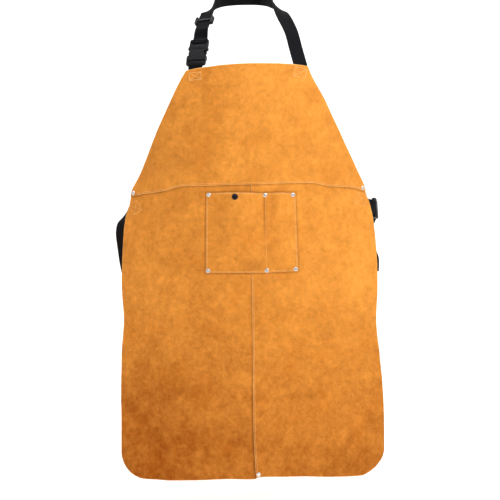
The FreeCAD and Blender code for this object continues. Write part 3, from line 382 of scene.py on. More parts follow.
def suede():
    s = Shader("split_suede")
    place = s.coords()
    big = s.noise(place, scale=7.5, detail=3.0, rough=0.5)
    mid = s.noise(place, scale=27.0, rough=0.58, distort=0.3)
    blot = s.noise(place, scale=60.0, rough=0.6, distort=0.5)
    clump = s.noise(place, scale=120.0, rough=0.62, distort=0.4)
    nap = s.noise(place, scale=520.0, detail=3.0, rough=0.62)
    fibre = s.noise(s.coords(scale=(1, 1, 0.38), turn=(0, 0.5, 0)), scale=1900.0, detail=2.0,
                    rough=0.6)
    dye_and_shade, edge, painted_shadow, flesh = (s.attribute(key) for key in ("tone", "edge", "painted_shadow", "flesh"))
    light, dark = (1.0, 0.392, 0.063), (0.275, 0.051, 0.0008)
    # each noise's share in mottling the dye
    for part, share in ((big, 0.50), (mid, 0.80), (blot, 0.60), (clump, 0.62), (nap, 0.70)):
        dye_and_shade = s.math("ADD", dye_and_shade, s.centred(part, share))
    lowest, spread = -0.25, 1.55    # range of the mottled colour with its painted shade, brought to 0 to 1
    dye_and_shade = s.math("DIVIDE", s.math("ADD", dye_and_shade, -lowest), spread)
    # from light to dark: carries the painted shade of the tone attribute along with the hide's
    # own colour
    col = s.mix(s.math("MINIMUM", s.math("MAXIMUM", dye_and_shade, 0.0), 1.0), light, dark)
    # redder drifts of dye, pale scuffs where the nap is worn, and pits
    drift = s.ramp(s.noise(place, scale=15.0, detail=3.0, rough=0.5, distort=0.5),
                   start=0.50, end=0.78)
    col = s.tint(col, drift, amount=0.22, towards=srgb(226, 128, 38))
    scuff = s.ramp(s.noise(s.coords(scale=(1, 1, 0.55)), scale=46.0, detail=6.0, rough=0.68,
                           distort=0.6), start=0.60, end=0.80)
    col = s.tint(col, scuff, amount=0.20, towards=srgb(250, 180, 92))
    pit = s.ramp(s.noise(place, scale=210.0, rough=0.7), start=0.28, end=0.42,
                 before=1.0, after=0.0)
    col = s.tint(col, pit, amount=0.22, towards=srgb(184, 100, 24))
    # painted shadow beside the edges, seams and the pocket's fold
    col = s.tint(col, s.math("MAXIMUM", painted_shadow, 0.0), amount=0.75, towards=srgb(120, 62, 14))
    # raw cut edges show the pale core of the hide
    wobble = s.centred(nap, gain=1.6)
    pale = s.ramp(s.math("ADD", edge, wobble), start=0.0, end=1.4, before=1.0, after=0.0)
    col = s.tint(col, pale, amount=0.62, towards=srgb(255, 208, 136))
    col = s.tint(col, flesh, amount=0.42, towards=srgb(232, 160, 86))
    base_rough = 0.86
    rough = s.math("ADD", base_rough, s.centred(clump, gain=0.2))
    normal = s.bumps((mid, 0.0016, 0.35), (clump, 0.0009, 0.55), (nap, 0.00045, 0.75),
                     (fibre, 0.00022, 0.8))
    return s.finish(Base_Color=col, Roughness=rough, Normal=normal, Specular_IOR_Level=0.05,
                    Sheen_Weight=0.04, Sheen_Roughness=0.55,
                    Sheen_Tint=(*srgb(255, 190, 100), 1.0))


def webbing():
    """Zigzag weave, laid out by the ribbon's own length and width attributes."""
    rib_pitch, zig_width, zig_lag, warp_pitch = 2.5, 4.0, 4.2, 1.05
    s = Shader("black_webbing_weave")
    along, across = s.attribute("wa"), s.attribute("wc")
    zig = s.math("PINGPONG", across, zig_width)
    phase = s.math("ADD", s.math("DIVIDE", along, rib_pitch), s.math("DIVIDE", zig, zig_lag))
    rib = s.math("SINE", s.math("MULTIPLY", phase, 2 * math.pi))
    warp = s.math("SINE", s.math("MULTIPLY", across, 2 * math.pi / warp_pitch))
    place = s.coords()
    fuzz = s.noise(place, scale=1500.0, detail=3.0, rough=0.6)
    big = s.noise(place, scale=40.0, detail=3.0, rough=0.5)
    # painted shade and highlight of the weave: the rib tops are painted lighter and the grooves
    # darker
    col = s.mix(s.ramp(rib, start=-0.9, end=0.9), srgb(4, 4, 6), srgb(21, 21, 26))
    col = s.tint(col, big, amount=0.3, towards=srgb(15, 14, 17))
    selvedge = s.ramp(s.math("ABSOLUTE", across), start=14.2, end=15.2)
    col = s.tint(col, selvedge, amount=0.5, towards=srgb(19, 19, 23))
    normal = s.bumps((rib, 0.00030, 0.8), (warp, 0.00012, 0.6), (fuzz, 0.00018, 0.6))
    return s.finish(Base_Color=col, Roughness=s.vary(base=0.62, value=fuzz, gain=0.2),
                    Normal=normal, Specular_IOR_Level=0.09, Sheen_Weight=0.008,
                    Sheen_Roughness=0.4)


def plastic():
    s = Shader("moulded_acetal")
    place = s.coords()
    grain = s.noise(place, scale=1250.0, detail=2.0, rough=0.5)
    cloud = s.noise(place, scale=60.0, rough=0.6)
    rub = s.ramp(s.noise(place, scale=170.0, detail=5.0, rough=0.7), start=0.55, end=0.75)
    col = s.tint(srgb(4, 5, 9), rub, amount=0.5, towards=srgb(13, 14, 20))
    rough = s.vary(base=0.30, value=cloud, gain=0.22)
    normal = s.bumps((grain, 0.00010, 0.6), (cloud, 0.0003, 0.15))
    return s.finish(Base_Color=col, Roughness=rough, Normal=normal, Specular_IOR_Level=0.14)


def metal(name, base, dark, rough):
    s = Shader(name)
    place = s.coords()
    scratch = s.noise(s.coords(scale=(1, 1, 9), turn=(0.3, 0.5, 0.2)), scale=700.0, detail=3.0,
                      rough=0.6)
    spot = s.ramp(s.noise(place, scale=420.0, rough=0.65), start=0.55, end=0.74)
    col = s.tint(base, spot, amount=0.55, towards=dark)
    rough = s.vary(base=rough, value=scratch, gain=0.18)
    return s.finish(Base_Color=col, Metallic=1.0, Roughness=rough,
                    Normal=s.bumps((scratch, 0.00004, 0.5)))


def thread(name, light, dark):
    s = Shader(name)
    place = s.coords(turn=(0.6, 0.5, 0.3))
    twist = s.node("TexWave", Vector=place, Scale=900.0, Distortion=1.5).outputs["Fac"]
    fuzz = s.noise(place, scale=2600.0, detail=2.0, rough=0.6)
    col = s.tint(light, twist, amount=0.55, towards=dark)
    normal = s.bumps((twist, 0.00012, 0.7), (fuzz, 0.00006, 0.6))
    return s.finish(Base_Color=col, Roughness=0.62, Normal=normal, Sheen_Weight=0.15)


SUEDE = suede()
WEBBING = webbing()
PLASTIC = plastic()
NICKEL = metal("nickel_plate", base=srgb(240, 238, 233), dark=srgb(150, 146, 140), rough=0.19)
GUNMETAL = metal("black_nickel", base=srgb(58, 58, 62), dark=srgb(30, 30, 33), rough=0.14)
THREAD = thread("waxed_thread", light=srgb(252, 202, 124), dark=srgb(226, 154, 74))
PATCH_THREAD = thread("patch_thread", light=srgb(255, 216, 140), dark=srgb(242, 182, 98))


# ------------------------------------------------------------------ meshes
def new_object(name, verts, faces, material, attributes=None):
    """A smooth-shaded object from vertices in millimetres."""
    mesh = bpy.data.meshes.new(name)
    mesh.from_pydata([tuple(v) for v in np.asarray(verts) * MM], [], [tuple(f) for f in faces])
    mesh.materials.append(material)
    mesh.polygons.foreach_set("use_smooth", np.ones(len(mesh.polygons), bool))
    for key, values in (attributes or {}).items():
        attribute = mesh.attributes.new(key, "FLOAT", "POINT")
        attribute.data.foreach_set("value", np.asarray(values, np.float32))
    mesh.update()
    mesh.validate()
    # every closed skin faces outward; an open one keeps the side it was drawn on
    bm = bmesh.new()
    bm.from_mesh(mesh)
    if all(e.is_manifold for e in bm.edges):
        bmesh.ops.recalc_face_normals(bm, faces=bm.faces)
        bm.to_mesh(mesh)
    bm.free()
    obj = bpy.data.objects.new(name, mesh)
    bpy.context.scene.collection.objects.link(obj)
    return obj


def register(obj, body=None, replaces=()):
    """Parent an object to the body it rides and hide the pieces it replaces."""
    if body:
        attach(obj, body)
    if replaces:
        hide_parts(*replaces)


def blend(obj, first, second, start, end):
    """Bake an object's transform into its mesh."""
    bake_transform(obj)


# ------------------------------------------------------------------ leather
def steps(total, middle, first=EDGE_STEPS):
    """Sample places from 0 to 1: fine towards the ends, even between."""
    start = np.cumsum([0.0] + list(first))
    end = total - np.cumsum([0.0] + EDGE_STEPS[::-1])[::-1]
    count = max(2, int(round((end[0] - start[-1]) / middle)))
    between = np.linspace(start[-1], end[0], count + 1)[1:-1]
    return np.concatenate([start, between, end]) / total


def hem_rows(height):
    """Row places for a skirt: equal turns round the hem corner, then even."""
    turns = 26
    low = HEM_CORNER * (1 - np.cos(np.linspace(0, math.pi / 2, turns)))
    low[1] = max(low[1], 0.35)
    rest = height - HEM_CORNER
    top = steps(rest, STEP, first=[]) * rest + HEM_CORNER
    return np.concatenate([low, top[1:]]) / height


def fill_outline(columns, rows, left, right, top, bottom):
    """Flat lists of x and z for a grid stretched between four curved edges."""
    across, up = (grid.ravel() for grid in np.meshgrid(columns, rows, indexing="ij"))
    x = np.zeros_like(across)
    for _ in range(16):
        z = bottom(x) * (1 - up) + top(x) * up
        x = left(z) * (1 - across) + right(z) * across
    return x, z


def edge_distance(x, z, left, right, top, bottom):
    """Distance in to the nearest edge, allowing for each edge's slope."""
    def true(gap, edge, place):
        slope = (edge(place + 1.0) - edge(place - 1.0)) / 2
        return gap / np.sqrt(1 + slope ** 2)

    gaps = [true(x - left(z), left, z), true(right(z) - x, right, z),
            true(top(x) - z, top, x), true(z - bottom(x), bottom, x)]
    return np.maximum(np.minimum.reduce(gaps), 0.0)


def border(vid):
    """Indices round a grid's border, as one loop."""
    return np.concatenate([vid[:-1, 0], vid[-1, :-1], vid[:0:-1, -1], vid[0, :0:-1]])


def outward(loop, normals):
    """Directions out of a closed loop, along the surface."""
    tangent = np.roll(loop, -1, 0) - np.roll(loop, 1, 0)
    tangent /= np.maximum(np.linalg.norm(tangent, axis=1, keepdims=True), 1e-9)
    out = np.cross(tangent, normals)
    out /= np.maximum(np.linalg.norm(out, axis=1, keepdims=True), 1e-9)
    return -out if (out * (loop - loop.mean(0))).sum() < 0 else out


def ragged(x, z, amount=0.35):
    return amount * soft_noise(x, z, 7, 7, 4.4) + 0.5 * amount * soft_noise(x, z, 2.6, 2.6, 8.1)


def sheet(name, columns, rows, edges, offset, shade=flat, skin=False):
    """A leather sheet with the shared relief and a wandering cut edge. It has thickness and
    rounded edges, or as a skin it is one middle layer thickened by a modifier."""
    x, z = fill_outline(columns, rows, *edges)
    count = len(x)
    vid = np.arange(count).reshape(len(columns), len(rows))
    quads = np.stack([vid[:-1, :-1], vid[1:, :-1], vid[1:, 1:], vid[:-1, 1:]], -1).reshape(-1, 4)
    distance = edge_distance(x, z, *edges)
    rise = offset(x, z) + relief(x, z)
    # the tone is partly painted shade; the shade function gives painted shadow lines
    dye_and_shade, painted_shadow = tone(x, z), shade(x, z)
    rim = border(vid)
    loop = on_body(x[rim], z[rim], rise[rim] + LEATHER * 0.55)
    out = outward(loop, body_normal(x[rim], z[rim]))
    wander = ragged(x[rim], z[rim])[:, None]
    if skin:
        middle = on_body(x, z, rise + LEATHER / 2)
        middle[rim] += out * wander
        obj = new_object(name, middle, quads, SUEDE, {
            "edge": distance, "tone": dye_and_shade, "flesh": np.zeros(count), "painted_shadow": painted_shadow})
        thick = obj.modifiers.new("thickness", "SOLIDIFY")
        thick.thickness = LEATHER * MM
        thick.offset = 0.0
        return obj
    rounding = np.clip(1 - distance / 0.8, 0, 1)
    front = on_body(x, z, rise + LEATHER - 0.42 * rounding)
    back = on_body(x, z, rise + 0.30 * rounding)
    front[rim] += out * wander
    back[rim] += out * wander
    edge = np.arange(len(rim)) + 2 * count
    next_rim, next_edge = np.roll(rim, -1), np.roll(edge, -1)
    faces = [quads, (quads + count)[:, ::-1], np.stack([next_rim, rim, edge, next_edge], -1),
             np.stack([next_edge, edge, rim + count, next_rim + count], -1)]
    verts = [front, back, loop + out * (0.30 + wander)]
    return new_object(name, np.concatenate(verts), np.concatenate(faces), SUEDE, {
        "edge": np.concatenate([distance, distance, np.full(len(rim), -1.0)]),
        "tone": np.concatenate([dye_and_shade, dye_and_shade, dye_and_shade[rim]]),
        "painted_shadow": np.concatenate([painted_shadow, np.zeros(count + len(rim))]),
        "flesh": np.concatenate([np.zeros(count), np.ones(count), np.full(len(rim), 0.5)])})


def rounded_side(side, width, low, inward):
    """A skirt's side edge with its rounded bottom corner; inward is the sign of x."""
    edge, start = float(side(-620)), low + HEM_CORNER
    choose = np.maximum if inward > 0 else np.minimum

    def rounded(z):
        z = np.asarray(z, float)
        down = np.clip((start - z) / HEM_CORNER, 0, 1)
        arc = edge + inward * (width - width * np.sqrt(np.maximum(1 - down ** 2, 0)))
        return np.where(z < start, choose(arc, side(z)), side(z))

    return rounded


def lap_top(x):
    return WAIST(x) + LAP


def lap_right(z):
    return SEAM(z) + LAP


# painted shadows: darker lines on the leather beside its edges and folds, where shade falls
def pocket_painted_shadow(x, z):
    """Painted shadow on the skirt just outside the pocket."""
    outside = np.maximum.reduce([POCKET_LEFT(z) - x, x - POCKET_RIGHT(z),
                                 POCKET_BOTTOM(x) - z, z - POCKET_TOP(x)])
    return 0.75 * np.exp(-(np.maximum(outside, 0) / 2.6) ** 2) * (outside > -3)


def right_painted_shadow(x, z):
    """Painted shadow below the bib's edge and round the pocket."""
    waist = 0.8 * np.exp(-(np.maximum(WAIST(x) - z, 0) / 2.4) ** 2)
    return np.maximum(waist, pocket_painted_shadow(x, z))


def left_painted_shadow(x, z):
    """Painted shadow as on the right, and beside the centre seam, stronger towards the hem."""
    low = 0.35 + 0.65 * ease((-z - 190) / 380)
    reach = 2.4 + 2.2 * ease((-z - 300) / 250)
    seam = low * np.exp(-(np.maximum(SEAM(z) - x, 0) / reach) ** 2)
    return np.maximum(seam, right_painted_shadow(x, z))


def fold_painted_shadow(x, z):
    """Painted shade in the fold between the pocket's compartments and low on its middle."""
    fold = 0.55 * ease((z + 130) / 60) * np.exp(-((x - divider_x(z) + 2.0) / 3.2) ** 2)
    return np.maximum(fold, 0.30 * np.exp(-((x - 12) / 22) ** 2 - ((z + 172) / 12) ** 2))


LEFT_HEMMED = rounded_side(LEFT, width=56.0, low=-649.6, inward=1)
RIGHT_HEMMED = rounded_side(RIGHT, width=56.0 * 1.2, low=-643.4, inward=-1)
# name, column places, row places, (left, right, top, bottom), offset, shade, piece replaced
PANELS = [
    ("bib_leather", steps(540, STEP), steps(272, STEP),
     (LEFT, RIGHT, TOP, WAIST), bib_offset, flat, "bib_panel"),
    ("skirt_leather_left", steps(285, STEP), hem_rows(655.0),
     (LEFT_HEMMED, lap_right, lap_top, HEM_LEFT), flat, left_painted_shadow, "skirt_panel_left"),
    ("skirt_leather_right", steps(290, STEP), hem_rows(650.0),
     (SEAM, RIGHT_HEMMED, lap_top, HEM_RIGHT), seam_cover, right_painted_shadow, "skirt_panel_right"),
]
for *panel, replaced in PANELS:
    register(sheet(*panel), "apron", [replaced])

pocket = sheet("pocket_leather", steps(196, POCKET_STEP), steps(177, POCKET_STEP),
               (POCKET_LEFT, POCKET_RIGHT, POCKET_TOP, POCKET_BOTTOM), pocket_offset,
               fold_painted_shadow, skin=True)


# ------------------------------------------------------------------ stitching
SIDES = 6           # round a thread
# one stitch from end to end: place along its half length, height and radius in thread radii
ALONG = np.array([-1, -0.62, 0, 0.62, 1.0])
BOW = np.array([-0.75, 0.22, 0.42, 0.22, -0.75])
SWELL = np.array([0.62, 0.98, 1.0, 0.98, 0.62])


def stitches(name, runs, seed, material=THREAD, pitch=4.3, length=3.1, radius=0.46, face=1):
    """Real thread: short bowed lengths that dip into the leather at each end.
    Runs are (x, z points, offset function); face -1 puts them on the back."""
    rng = np.random.default_rng(seed)
    verts, faces = [], []
    angle = np.arange(SIDES) * math.pi / 3
    cos, sin = np.cos(angle)[:, None], np.sin(angle)[:, None]
    bow = BOW * radius * 1.25
    for points, offset in runs:
        gaps = np.linalg.norm(np.diff(points, axis=0), axis=1)
        travel = np.concatenate([[0], np.cumsum(gaps)])
        count = max(1, int(round(travel[-1] / pitch)))
        real = travel[-1] / count
        for k in range(count):
            half = 0.5 * length * (real / pitch) * (1 + 0.08 * rng.standard_normal())
            centre = (k + 0.5) * real + 0.12 * rng.standard_normal()
            aside = 0.10 * rng.standard_normal()
            at = np.clip(centre + ALONG * half, 0, travel[-1])
            x = np.interp(at, travel, points[:, 0])
            z = np.interp(at, travel, points[:, 1])
            heading = np.array([x[-1] - x[0], z[-1] - z[0]])
            heading /= max(np.linalg.norm(heading), 1e-9)
            x = x - heading[1] * aside
            z = z + heading[0] * aside
            rise = offset(x, z) + relief(x, z)
            path = on_body(x, z, rise + LEATHER + bow if face > 0 else rise - bow)
            forward = np.gradient(path, axis=0)
            forward /= np.linalg.norm(forward, axis=1, keepdims=True)
            side = np.cross(forward, body_normal(x, z) * face)
            side /= np.linalg.norm(side, axis=1, keepdims=True)
            up = np.cross(side, forward)
            rings = (side[:, None] * cos + up[:, None] * sin) * (radius * SWELL)[:, None, None]
            base = len(verts) * len(ALONG) * SIDES
            verts.append(path[:, None] + rings)
            for i in range(base, base + 4 * SIDES, SIDES):
                for j in range(SIDES):
                    j2 = (j + 1) % SIDES
                    faces.append((i + j, i + j2, i + SIDES + j2, i + SIDES + j))
            faces.append(tuple(base + j for j in reversed(range(SIDES))))
            faces.append(tuple(base + 4 * SIDES + j for j in range(SIDES)))
    return new_object(name, np.concatenate(verts).reshape(-1, 3), faces, material)


def gapped(points, offset, holes=RIVETS, clear=6.2):
    """Runs of a stitch line, broken where a rivet or the snap sits."""
    runs, run = [], []
    for point in points:
        if any(math.hypot(point[0] - x, point[1] - z) < clear for x, z in holes):
            runs.append(run)
            run = []
        else:
            run.append(point)
    return [(np.array(r), offset) for r in runs + [run] if len(r) > 1]


def upright(edge, inset, start, end, count):
    z = np.linspace(start, end, count)
    return np.stack([edge(z) + inset, z], -1)


def level(edge, inset, start, end, count):
    x = np.linspace(start, end, count)
    return np.stack([x, edge(x) + inset], -1)


def patch_runs(patches, offset):
    """A box with both diagonals on each patch."""
    t = np.linspace(0, 1, 40)[:, None]
    runs = []
    for cx, cz, half_width, half_height, degrees in patches:
        cos, sin = math.cos(math.radians(degrees)), math.sin(math.radians(degrees))
        corners = np.array([(cx + right * half_width * cos - up * half_height * sin,
                             cz + right * half_width * sin + up * half_height * cos)
                            for right, up in ((-1, -1), (1, -1), (1, 1), (-1, 1))])
        for i, j in ((0, 1), (1, 2), (2, 3), (3, 0), (0, 2), (1, 3)):
            runs.append((corners[i] * (1 - t) + corners[j] * t, offset))
    return runs


def sew(*args, **options):
    register(stitches(*args, **options), "apron")


waist_line = level(WAIST, WAIST_INSET, -262.0, 260.5, 500)
seam_below_pocket = upright(SEAM, SEAM_INSET, -200.0, -636.0, 420)
seam_line = upright(SEAM, SEAM_INSET, -4.0, -636.0, 560)
sew("waist_seam_stitches", gapped(waist_line, bib_offset), seed=11)
sew("centre_seam_stitches", gapped(seam_below_pocket, seam_cover), seed=12)
sew("waist_seam_stitches_back", gapped(waist_line, flat), face=-1, seed=13)
sew("centre_seam_stitches_back", gapped(seam_line, flat), face=-1, seed=14)

pocket_seams = [upright(POCKET_LEFT, POCKET_INSET, -16.5, -186.0, 160),
                upright(POCKET_RIGHT, -POCKET_INSET, -16.5, -186.0, 160),
                level(POCKET_BOTTOM, POCKET_INSET, -92.0, 104.5, 180),
                upright(divider_x, 0.0, -14.5, -186.5, 160)]
mouth_line = level(POCKET_TOP, -3.0, -90.0, 99.0, 180)
front_runs, back_runs = [], []
for points in pocket_seams + [mouth_line]:
    front_runs += gapped(points, pocket_offset, POCKET_RIVETS + [SNAP], clear=6.4)
for points in pocket_seams:
    back_runs += gapped(points, flat, POCKET_RIVETS, clear=6.0)
pocket_thread = stitches("pocket_stitches", front_runs, seed=21)
sew("pocket_stitches_back", back_runs, face=-1, seed=22)

sew("neck_patch_stitches", patch_runs(NECK_PATCHES, bib_offset), material=PATCH_THREAD,
    pitch=3.4, length=2.8, radius=0.50, seed=31)
sew("waist_patch_stitches", patch_runs(WAIST_PATCHES, flat),
    pitch=3.4, length=2.7, radius=0.44, seed=32)


# ------------------------------------------------------------------ webbing
def spline(values, lengths, counts):
    """A smooth curve through the values, in counts[i] steps from one to the next."""
    values = np.array(values, float)
    rate = np.diff(values, axis=0) / lengths[:, None]
    rate = np.concatenate([rate[:1], rate, rate[-1:]])
    slope = rate[:-1] + rate[1:]
    curve = []
    for i, count in enumerate(counts):
        t = (np.arange(count) / count)[:, None]
        leave, arrive = (slope[k] * (0.5 * lengths[i]) for k in (i, i + 1))
        curve.append(values[i] * (2 * t ** 3 - 3 * t ** 2 + 1) + leave * (t ** 3 - 2 * t ** 2 + t)
                     + values[i + 1] * (3 * t ** 2 - 2 * t ** 3) + arrive * (t ** 3 - t ** 2))
    return np.concatenate(curve + [values[-1:]])


def normalised(rows):
    return rows / np.linalg.norm(rows, axis=1, keepdims=True)


def ribbon(name, stations, step, first=None, last=None):
    """Woven webbing through (centre, width direction) stations, with ribs, selvedges and cut
    ends; first and last are the directions of travel at its ends."""
    centres, widths = zip(*stations)
    lengths = np.array([max(np.linalg.norm(gap), 1e-6)
                        for gap in np.diff(np.array(centres, float), axis=0)])
    counts = [max(3, int(math.ceil(length / step))) for length in lengths]
    path = spline(centres, lengths, counts)
    width = spline(widths, np.ones(len(lengths)), counts)
    travel = np.empty_like(path)
    travel[1:-1] = path[2:] - path[:-2]
    travel[0] = path[1] - path[0] if first is None else first
    travel[-1] = path[-1] - path[-2] if last is None else last
    travel = normalised(travel)
    width = normalised(width - travel * (width * travel).sum(1, keepdims=True))
    face = normalised(np.cross(width, travel))

    # cross-section: place across, height in half thicknesses; 15 columns on each face
    half, half_thick = WEB_WIDTH / 2, WEB_THICK / 2
    columns = np.linspace(-1, 1, 15) * (half - 1.0)
    selvedge = [(half - 0.25, 0.62), (half, 0.0), (half - 0.25, -0.62)]
    profile = ([(a, 1) for a in columns] + selvedge + [(a, -1) for a in columns[::-1]]
               + [(-a, -b) for a, b in selvedge])
    across, level_ = np.array(profile, float).T
    rings, around = len(path), len(profile)
    height = np.tile(half_thick * level_, (rings, 1))
    for j, side in enumerate(level_):
        if abs(side) == 1:
            k = j if side > 0 else 32 - j
            sunk = 0.06 if k in (0, 14) else 0.10 * ((np.arange(rings) + k) % 2)
            height[:, j] = (half_thick - sunk) * side
    verts = path[:, None] + width[:, None] * across[:, None] + face[:, None] * height[..., None]
    start = np.arange(rings - 1) * around
    faces = []
    for j in range(around):
        j2 = (j + 1) % around
        faces += np.stack([start + j, start + j2, start + around + j2, start + around + j],
                          -1).tolist()
    cut = [(k, k + 1, 31 - k, 32 - k) for k in range(14)]
    cut += [(14, 15, 16, 17, 18), (32, 33, 34, 35, 0)]
    base = (rings - 1) * around
    faces += cut + [[base + k for k in reversed(face_)] for face_ in cut]
    distance = np.concatenate([[0], np.cumsum(np.linalg.norm(np.diff(path, axis=0), axis=1))])
    return new_object(name, verts.reshape(-1, 3), faces, WEBBING, {
        "wa": np.repeat(distance, around), "wc": np.tile(across, rings)})


def strap(name, stations, step, bodies, start, end, replaces, first=None, last=None):
    """A ribbon with its transform baked that hides the pieces it replaces; bodies, start and end
    are not used.
    """
    obj = ribbon(name, stations, step, first, last)
    blend(obj, *bodies, start, end)
    register(obj, replaces=replaces)


def unit(vector):
    vector = np.asarray(vector, float)
    return vector / np.linalg.norm(vector)


class Frame:
    """Local axes of a buckle or slider: y along the strap, x across it, z off its face."""

    def __init__(self, origin, x, y):
        self.origin = np.array(origin, float)
        self.y = unit(y)
        x = np.array(x, float)
        self.x = unit(x - self.y * (x @ self.y))
        self.z = np.cross(self.x, self.y)

    def __call__(self, y, z=0.0, x=0.0):
        return self.origin + self.x * x + self.y * y + self.z * z


neck = Frame((-120.4, -81.9, 275.4), (0.95, -0.312, 0.0), (0.130, 0.469, 0.872))
slider_way = unit((0.21, 0.56, 0.80))
slider = Frame(np.array((-102.0, -31.0, 384.4)) - slider_way * 111.0, (0.92, -0.40, 0.05),
               slider_way)
waist = Frame((287.5, -4.0, -41.0), (0.05, -0.12, -0.98), (0.15, 0.985, -0.04))
# the neck strap where it leaves the bib's right corner
corner = np.array((114.8, -85.2, 276.6))
corner_way = unit((-0.235, 0.30, 0.925))
corner_width = (-0.93, -0.28, -0.235)
LEG = 2.7                   # half the distance between the two legs at a plug's bar
BAR_START, BAR_END, BAR_RISE = 0.5, 8.6, 3.75   # the turn round a shell's bar
PLUG_BAR, PLUG_ROUND = 61.9, 1.75               # the turn round a plug's bar


def sewn(dx, dz, sign, places):
    """Stations behind the leather at (x, z) or (x, z, extra depth), width along (dx, dz)."""
    stations = []
    for x, z, *extra in places:
        centre = on_body(x, z, -GAP - WEB_THICK / 2 - (extra[0] if extra else 1.3))
        dy = float(body_y(x + dx * 0.5, z + dz * 0.5)) - float(body_y(x - dx * 0.5, z - dz * 0.5))
        stations.append((centre, sign * np.array((dx, dy, dz), float)))
    return stations


def local(place, width, *coords):
    """Stations at (y, z) in a local frame."""
    return [(place(*coord), width) for coord in coords]


def shell_turn(place):
    """Round a shell's bar: the leg at +z, round the far side, the leg at -z."""
    turn = BAR_END - BAR_RISE
    coords = [(BAR_START, BAR_RISE), (turn, BAR_RISE)]
    for k in range(1, 8):
        angle = math.pi * k / 8
        coords.append((turn + BAR_RISE * 0.62 * math.sin(angle), BAR_RISE * math.cos(angle)))
    coords += [(turn, -BAR_RISE), (BAR_START, -BAR_RISE)]
    return local(place, place.x, *coords)


def plug_turn(place, width, leg):
    """Round a plug's bar, arriving at height leg and leaving at -leg."""
    coords = [(70.0, leg), (63.5, leg)]
    for k in range(9):
        angle = math.pi * k / 8
        coords.append((PLUG_BAR - PLUG_ROUND * math.sin(angle), leg * math.cos(angle)))
    return local(place, width, *coords, (63.5, -leg), (70.0, -leg))


# left neck tab: sewn behind the bib, round the buckle's bar, and back down on itself
stations = sewn(1, -0.12, 1, [(-121.6, 238.0), (-120.6, 250.0), (-119.6, 259.0)])
stations += local(neck, neck.x, (-9.8, -0.4), (-5.2, 1.2), (-1.8, 3.1))
stations += shell_turn(neck)
stations += local(neck, neck.x, (-3.0, -3.2), (-7.0, -2.5), (-11.0, -2.3), (-20.0, -2.4))
strap("neck_tab_left", stations, step=1.1, bodies=("apron", "neck_loop"),
      start=neck(-14.0), end=neck(-5.0),
      replaces=["neck_strap_anchor_left", "neck_strap_short"])

# neck strap: from behind the bib's other corner, round the neck, down to the slider
stations = sewn(1, 0.2, -1, [(117.6, 240.0), (116.8, 253.0), (115.6, 264.5)])
stations += [(corner, corner_width)]
stations += [(corner + corner_way * far, corner_width) for far in (6.0, 25.0, 44.0, 84.0)]
stations += [
    ((77.5, -38.0, 394), (-0.93, -0.18, -0.1)), ((63.5, -8.0, 421), (-0.5, -0.55, 0.3)),
    ((52, 24.0, 437), (0.0, -0.72, 0.6)), ((39, 54, 448), (0.0, -0.55, 0.8)),
    ((20, 76, 455), (0, -0.3, 0.95)), ((-6, 84, 457), (0, -0.25, 0.97)),
    ((-32, 78, 455), (0, -0.28, 0.95)), ((-57, 58, 448), (0.0, -0.5, 0.8)),
    ((-76.5, 30.0, 435.5), (0.0, -0.72, 0.6)), ((-85.5, 7.0, 420.5), (0.22, -0.70, 0.5)),
]
stations += local(slider, slider.x, *((y, -1.0) for y in (138, 130, 120, 108, 98.2)))
strap("neck_strap", stations, step=1.5, bodies=("apron", "neck_loop"),
      start=corner - corner_way * 7.0, end=corner + corner_way * 3.0,
      replaces=["neck_strap_anchor_right", "neck_strap_long"], last=-slider_way)

# the adjusting loop: slider, round the male half's bar, back through the slider
stations = local(slider, slider.x, (98.0, -1.0), (90.0, -1.0), (84.0, -1.0))
stations += local(neck, neck.x, (77.0, -LEG))
stations += plug_turn(neck, neck.x, -LEG)
stations += local(neck, neck.x, (77.0, LEG))
stations += local(slider, slider.x, (84.0, 1.0), (90.0, 1.0), (108.0, 1.0), (126.0, 1.0))
strap("neck_adjust_loop", stations, step=1.2, bodies=("neck_loop", "neck_male"),
      start=slider(97.0), end=neck(66.0), replaces=["neck_strap_loop"],
      first=-slider_way, last=slider_way)

# right waist tab, built like the left neck tab
stations = sewn(-0.17, 1, -1, [(240.0, -28.0, 1.3), (252.0, -30.0, 1.5), (263.5, -33.0, 1.9)])
stations += local(waist, waist.x, (-11.0,), (-6.0, 1.0), (-2.2, 3.1))
stations += shell_turn(waist)
stations += local(waist, waist.x, (-3.0, -3.2), (-7.0, -2.4), (-11.0, -2.0), (-15.0, -2.2))
strap("waist_tab_right", stations, step=1.1, bodies=("apron", "waist_belt"),
      start=(277, -34, -38), end=(277, -14, -38),
      replaces=["waist_strap_anchor_right", "waist_strap_short"])

# belt: left corner to the middle of the back, then on to the right buckle
back_middle = ((0.0, 175.0, -251.0), (0, 0.0, 1))
back_way = unit((210.0, 1.0, 7.0))
stations = sewn(0.40, 1, 1, [(-243.0, -34.0, 1.3), (-255.0, -39.0, 1.6), (-266.0, -45.5, 2.4)])
stations += [
    ((-279.5, -17.5, -52.5), (0.5, 0.08, 0.9)), ((-285.8, -8.5, -59.0), (0.55, 0.5, 0.8)),
    ((-292.5, 2.5, -71.0), (0.64, 0.70, 0.5)), ((-297.0, 13.0, -95.0), (0.66, 0.76, 0.15)),
    ((-294.5, 25.0, -130.0), (0.66, 0.76, 0.15)), ((-290.5, 38.0, -168.0), (0.62, 0.76, 0.25)),
    ((-283.0, 62.0, -203.0), (0.5, 0.6, 0.6)), ((-258.0, 102.0, -230.0), (0.2, 0.3, 0.93)),
    ((-190.0, 142.0, -243.0), (0, 0.1, 1)), ((-100.0, 167.0, -250.0), (0, 0.05, 1)),
    back_middle,
]
strap("waist_belt_left", stations, step=1.6, bodies=("apron", "waist_belt"),
      start=(-273.5, -40, -49.5), end=(-273.5, -12, -49.5),
      replaces=["waist_strap_anchor_left", "waist_strap_long"], last=back_way)
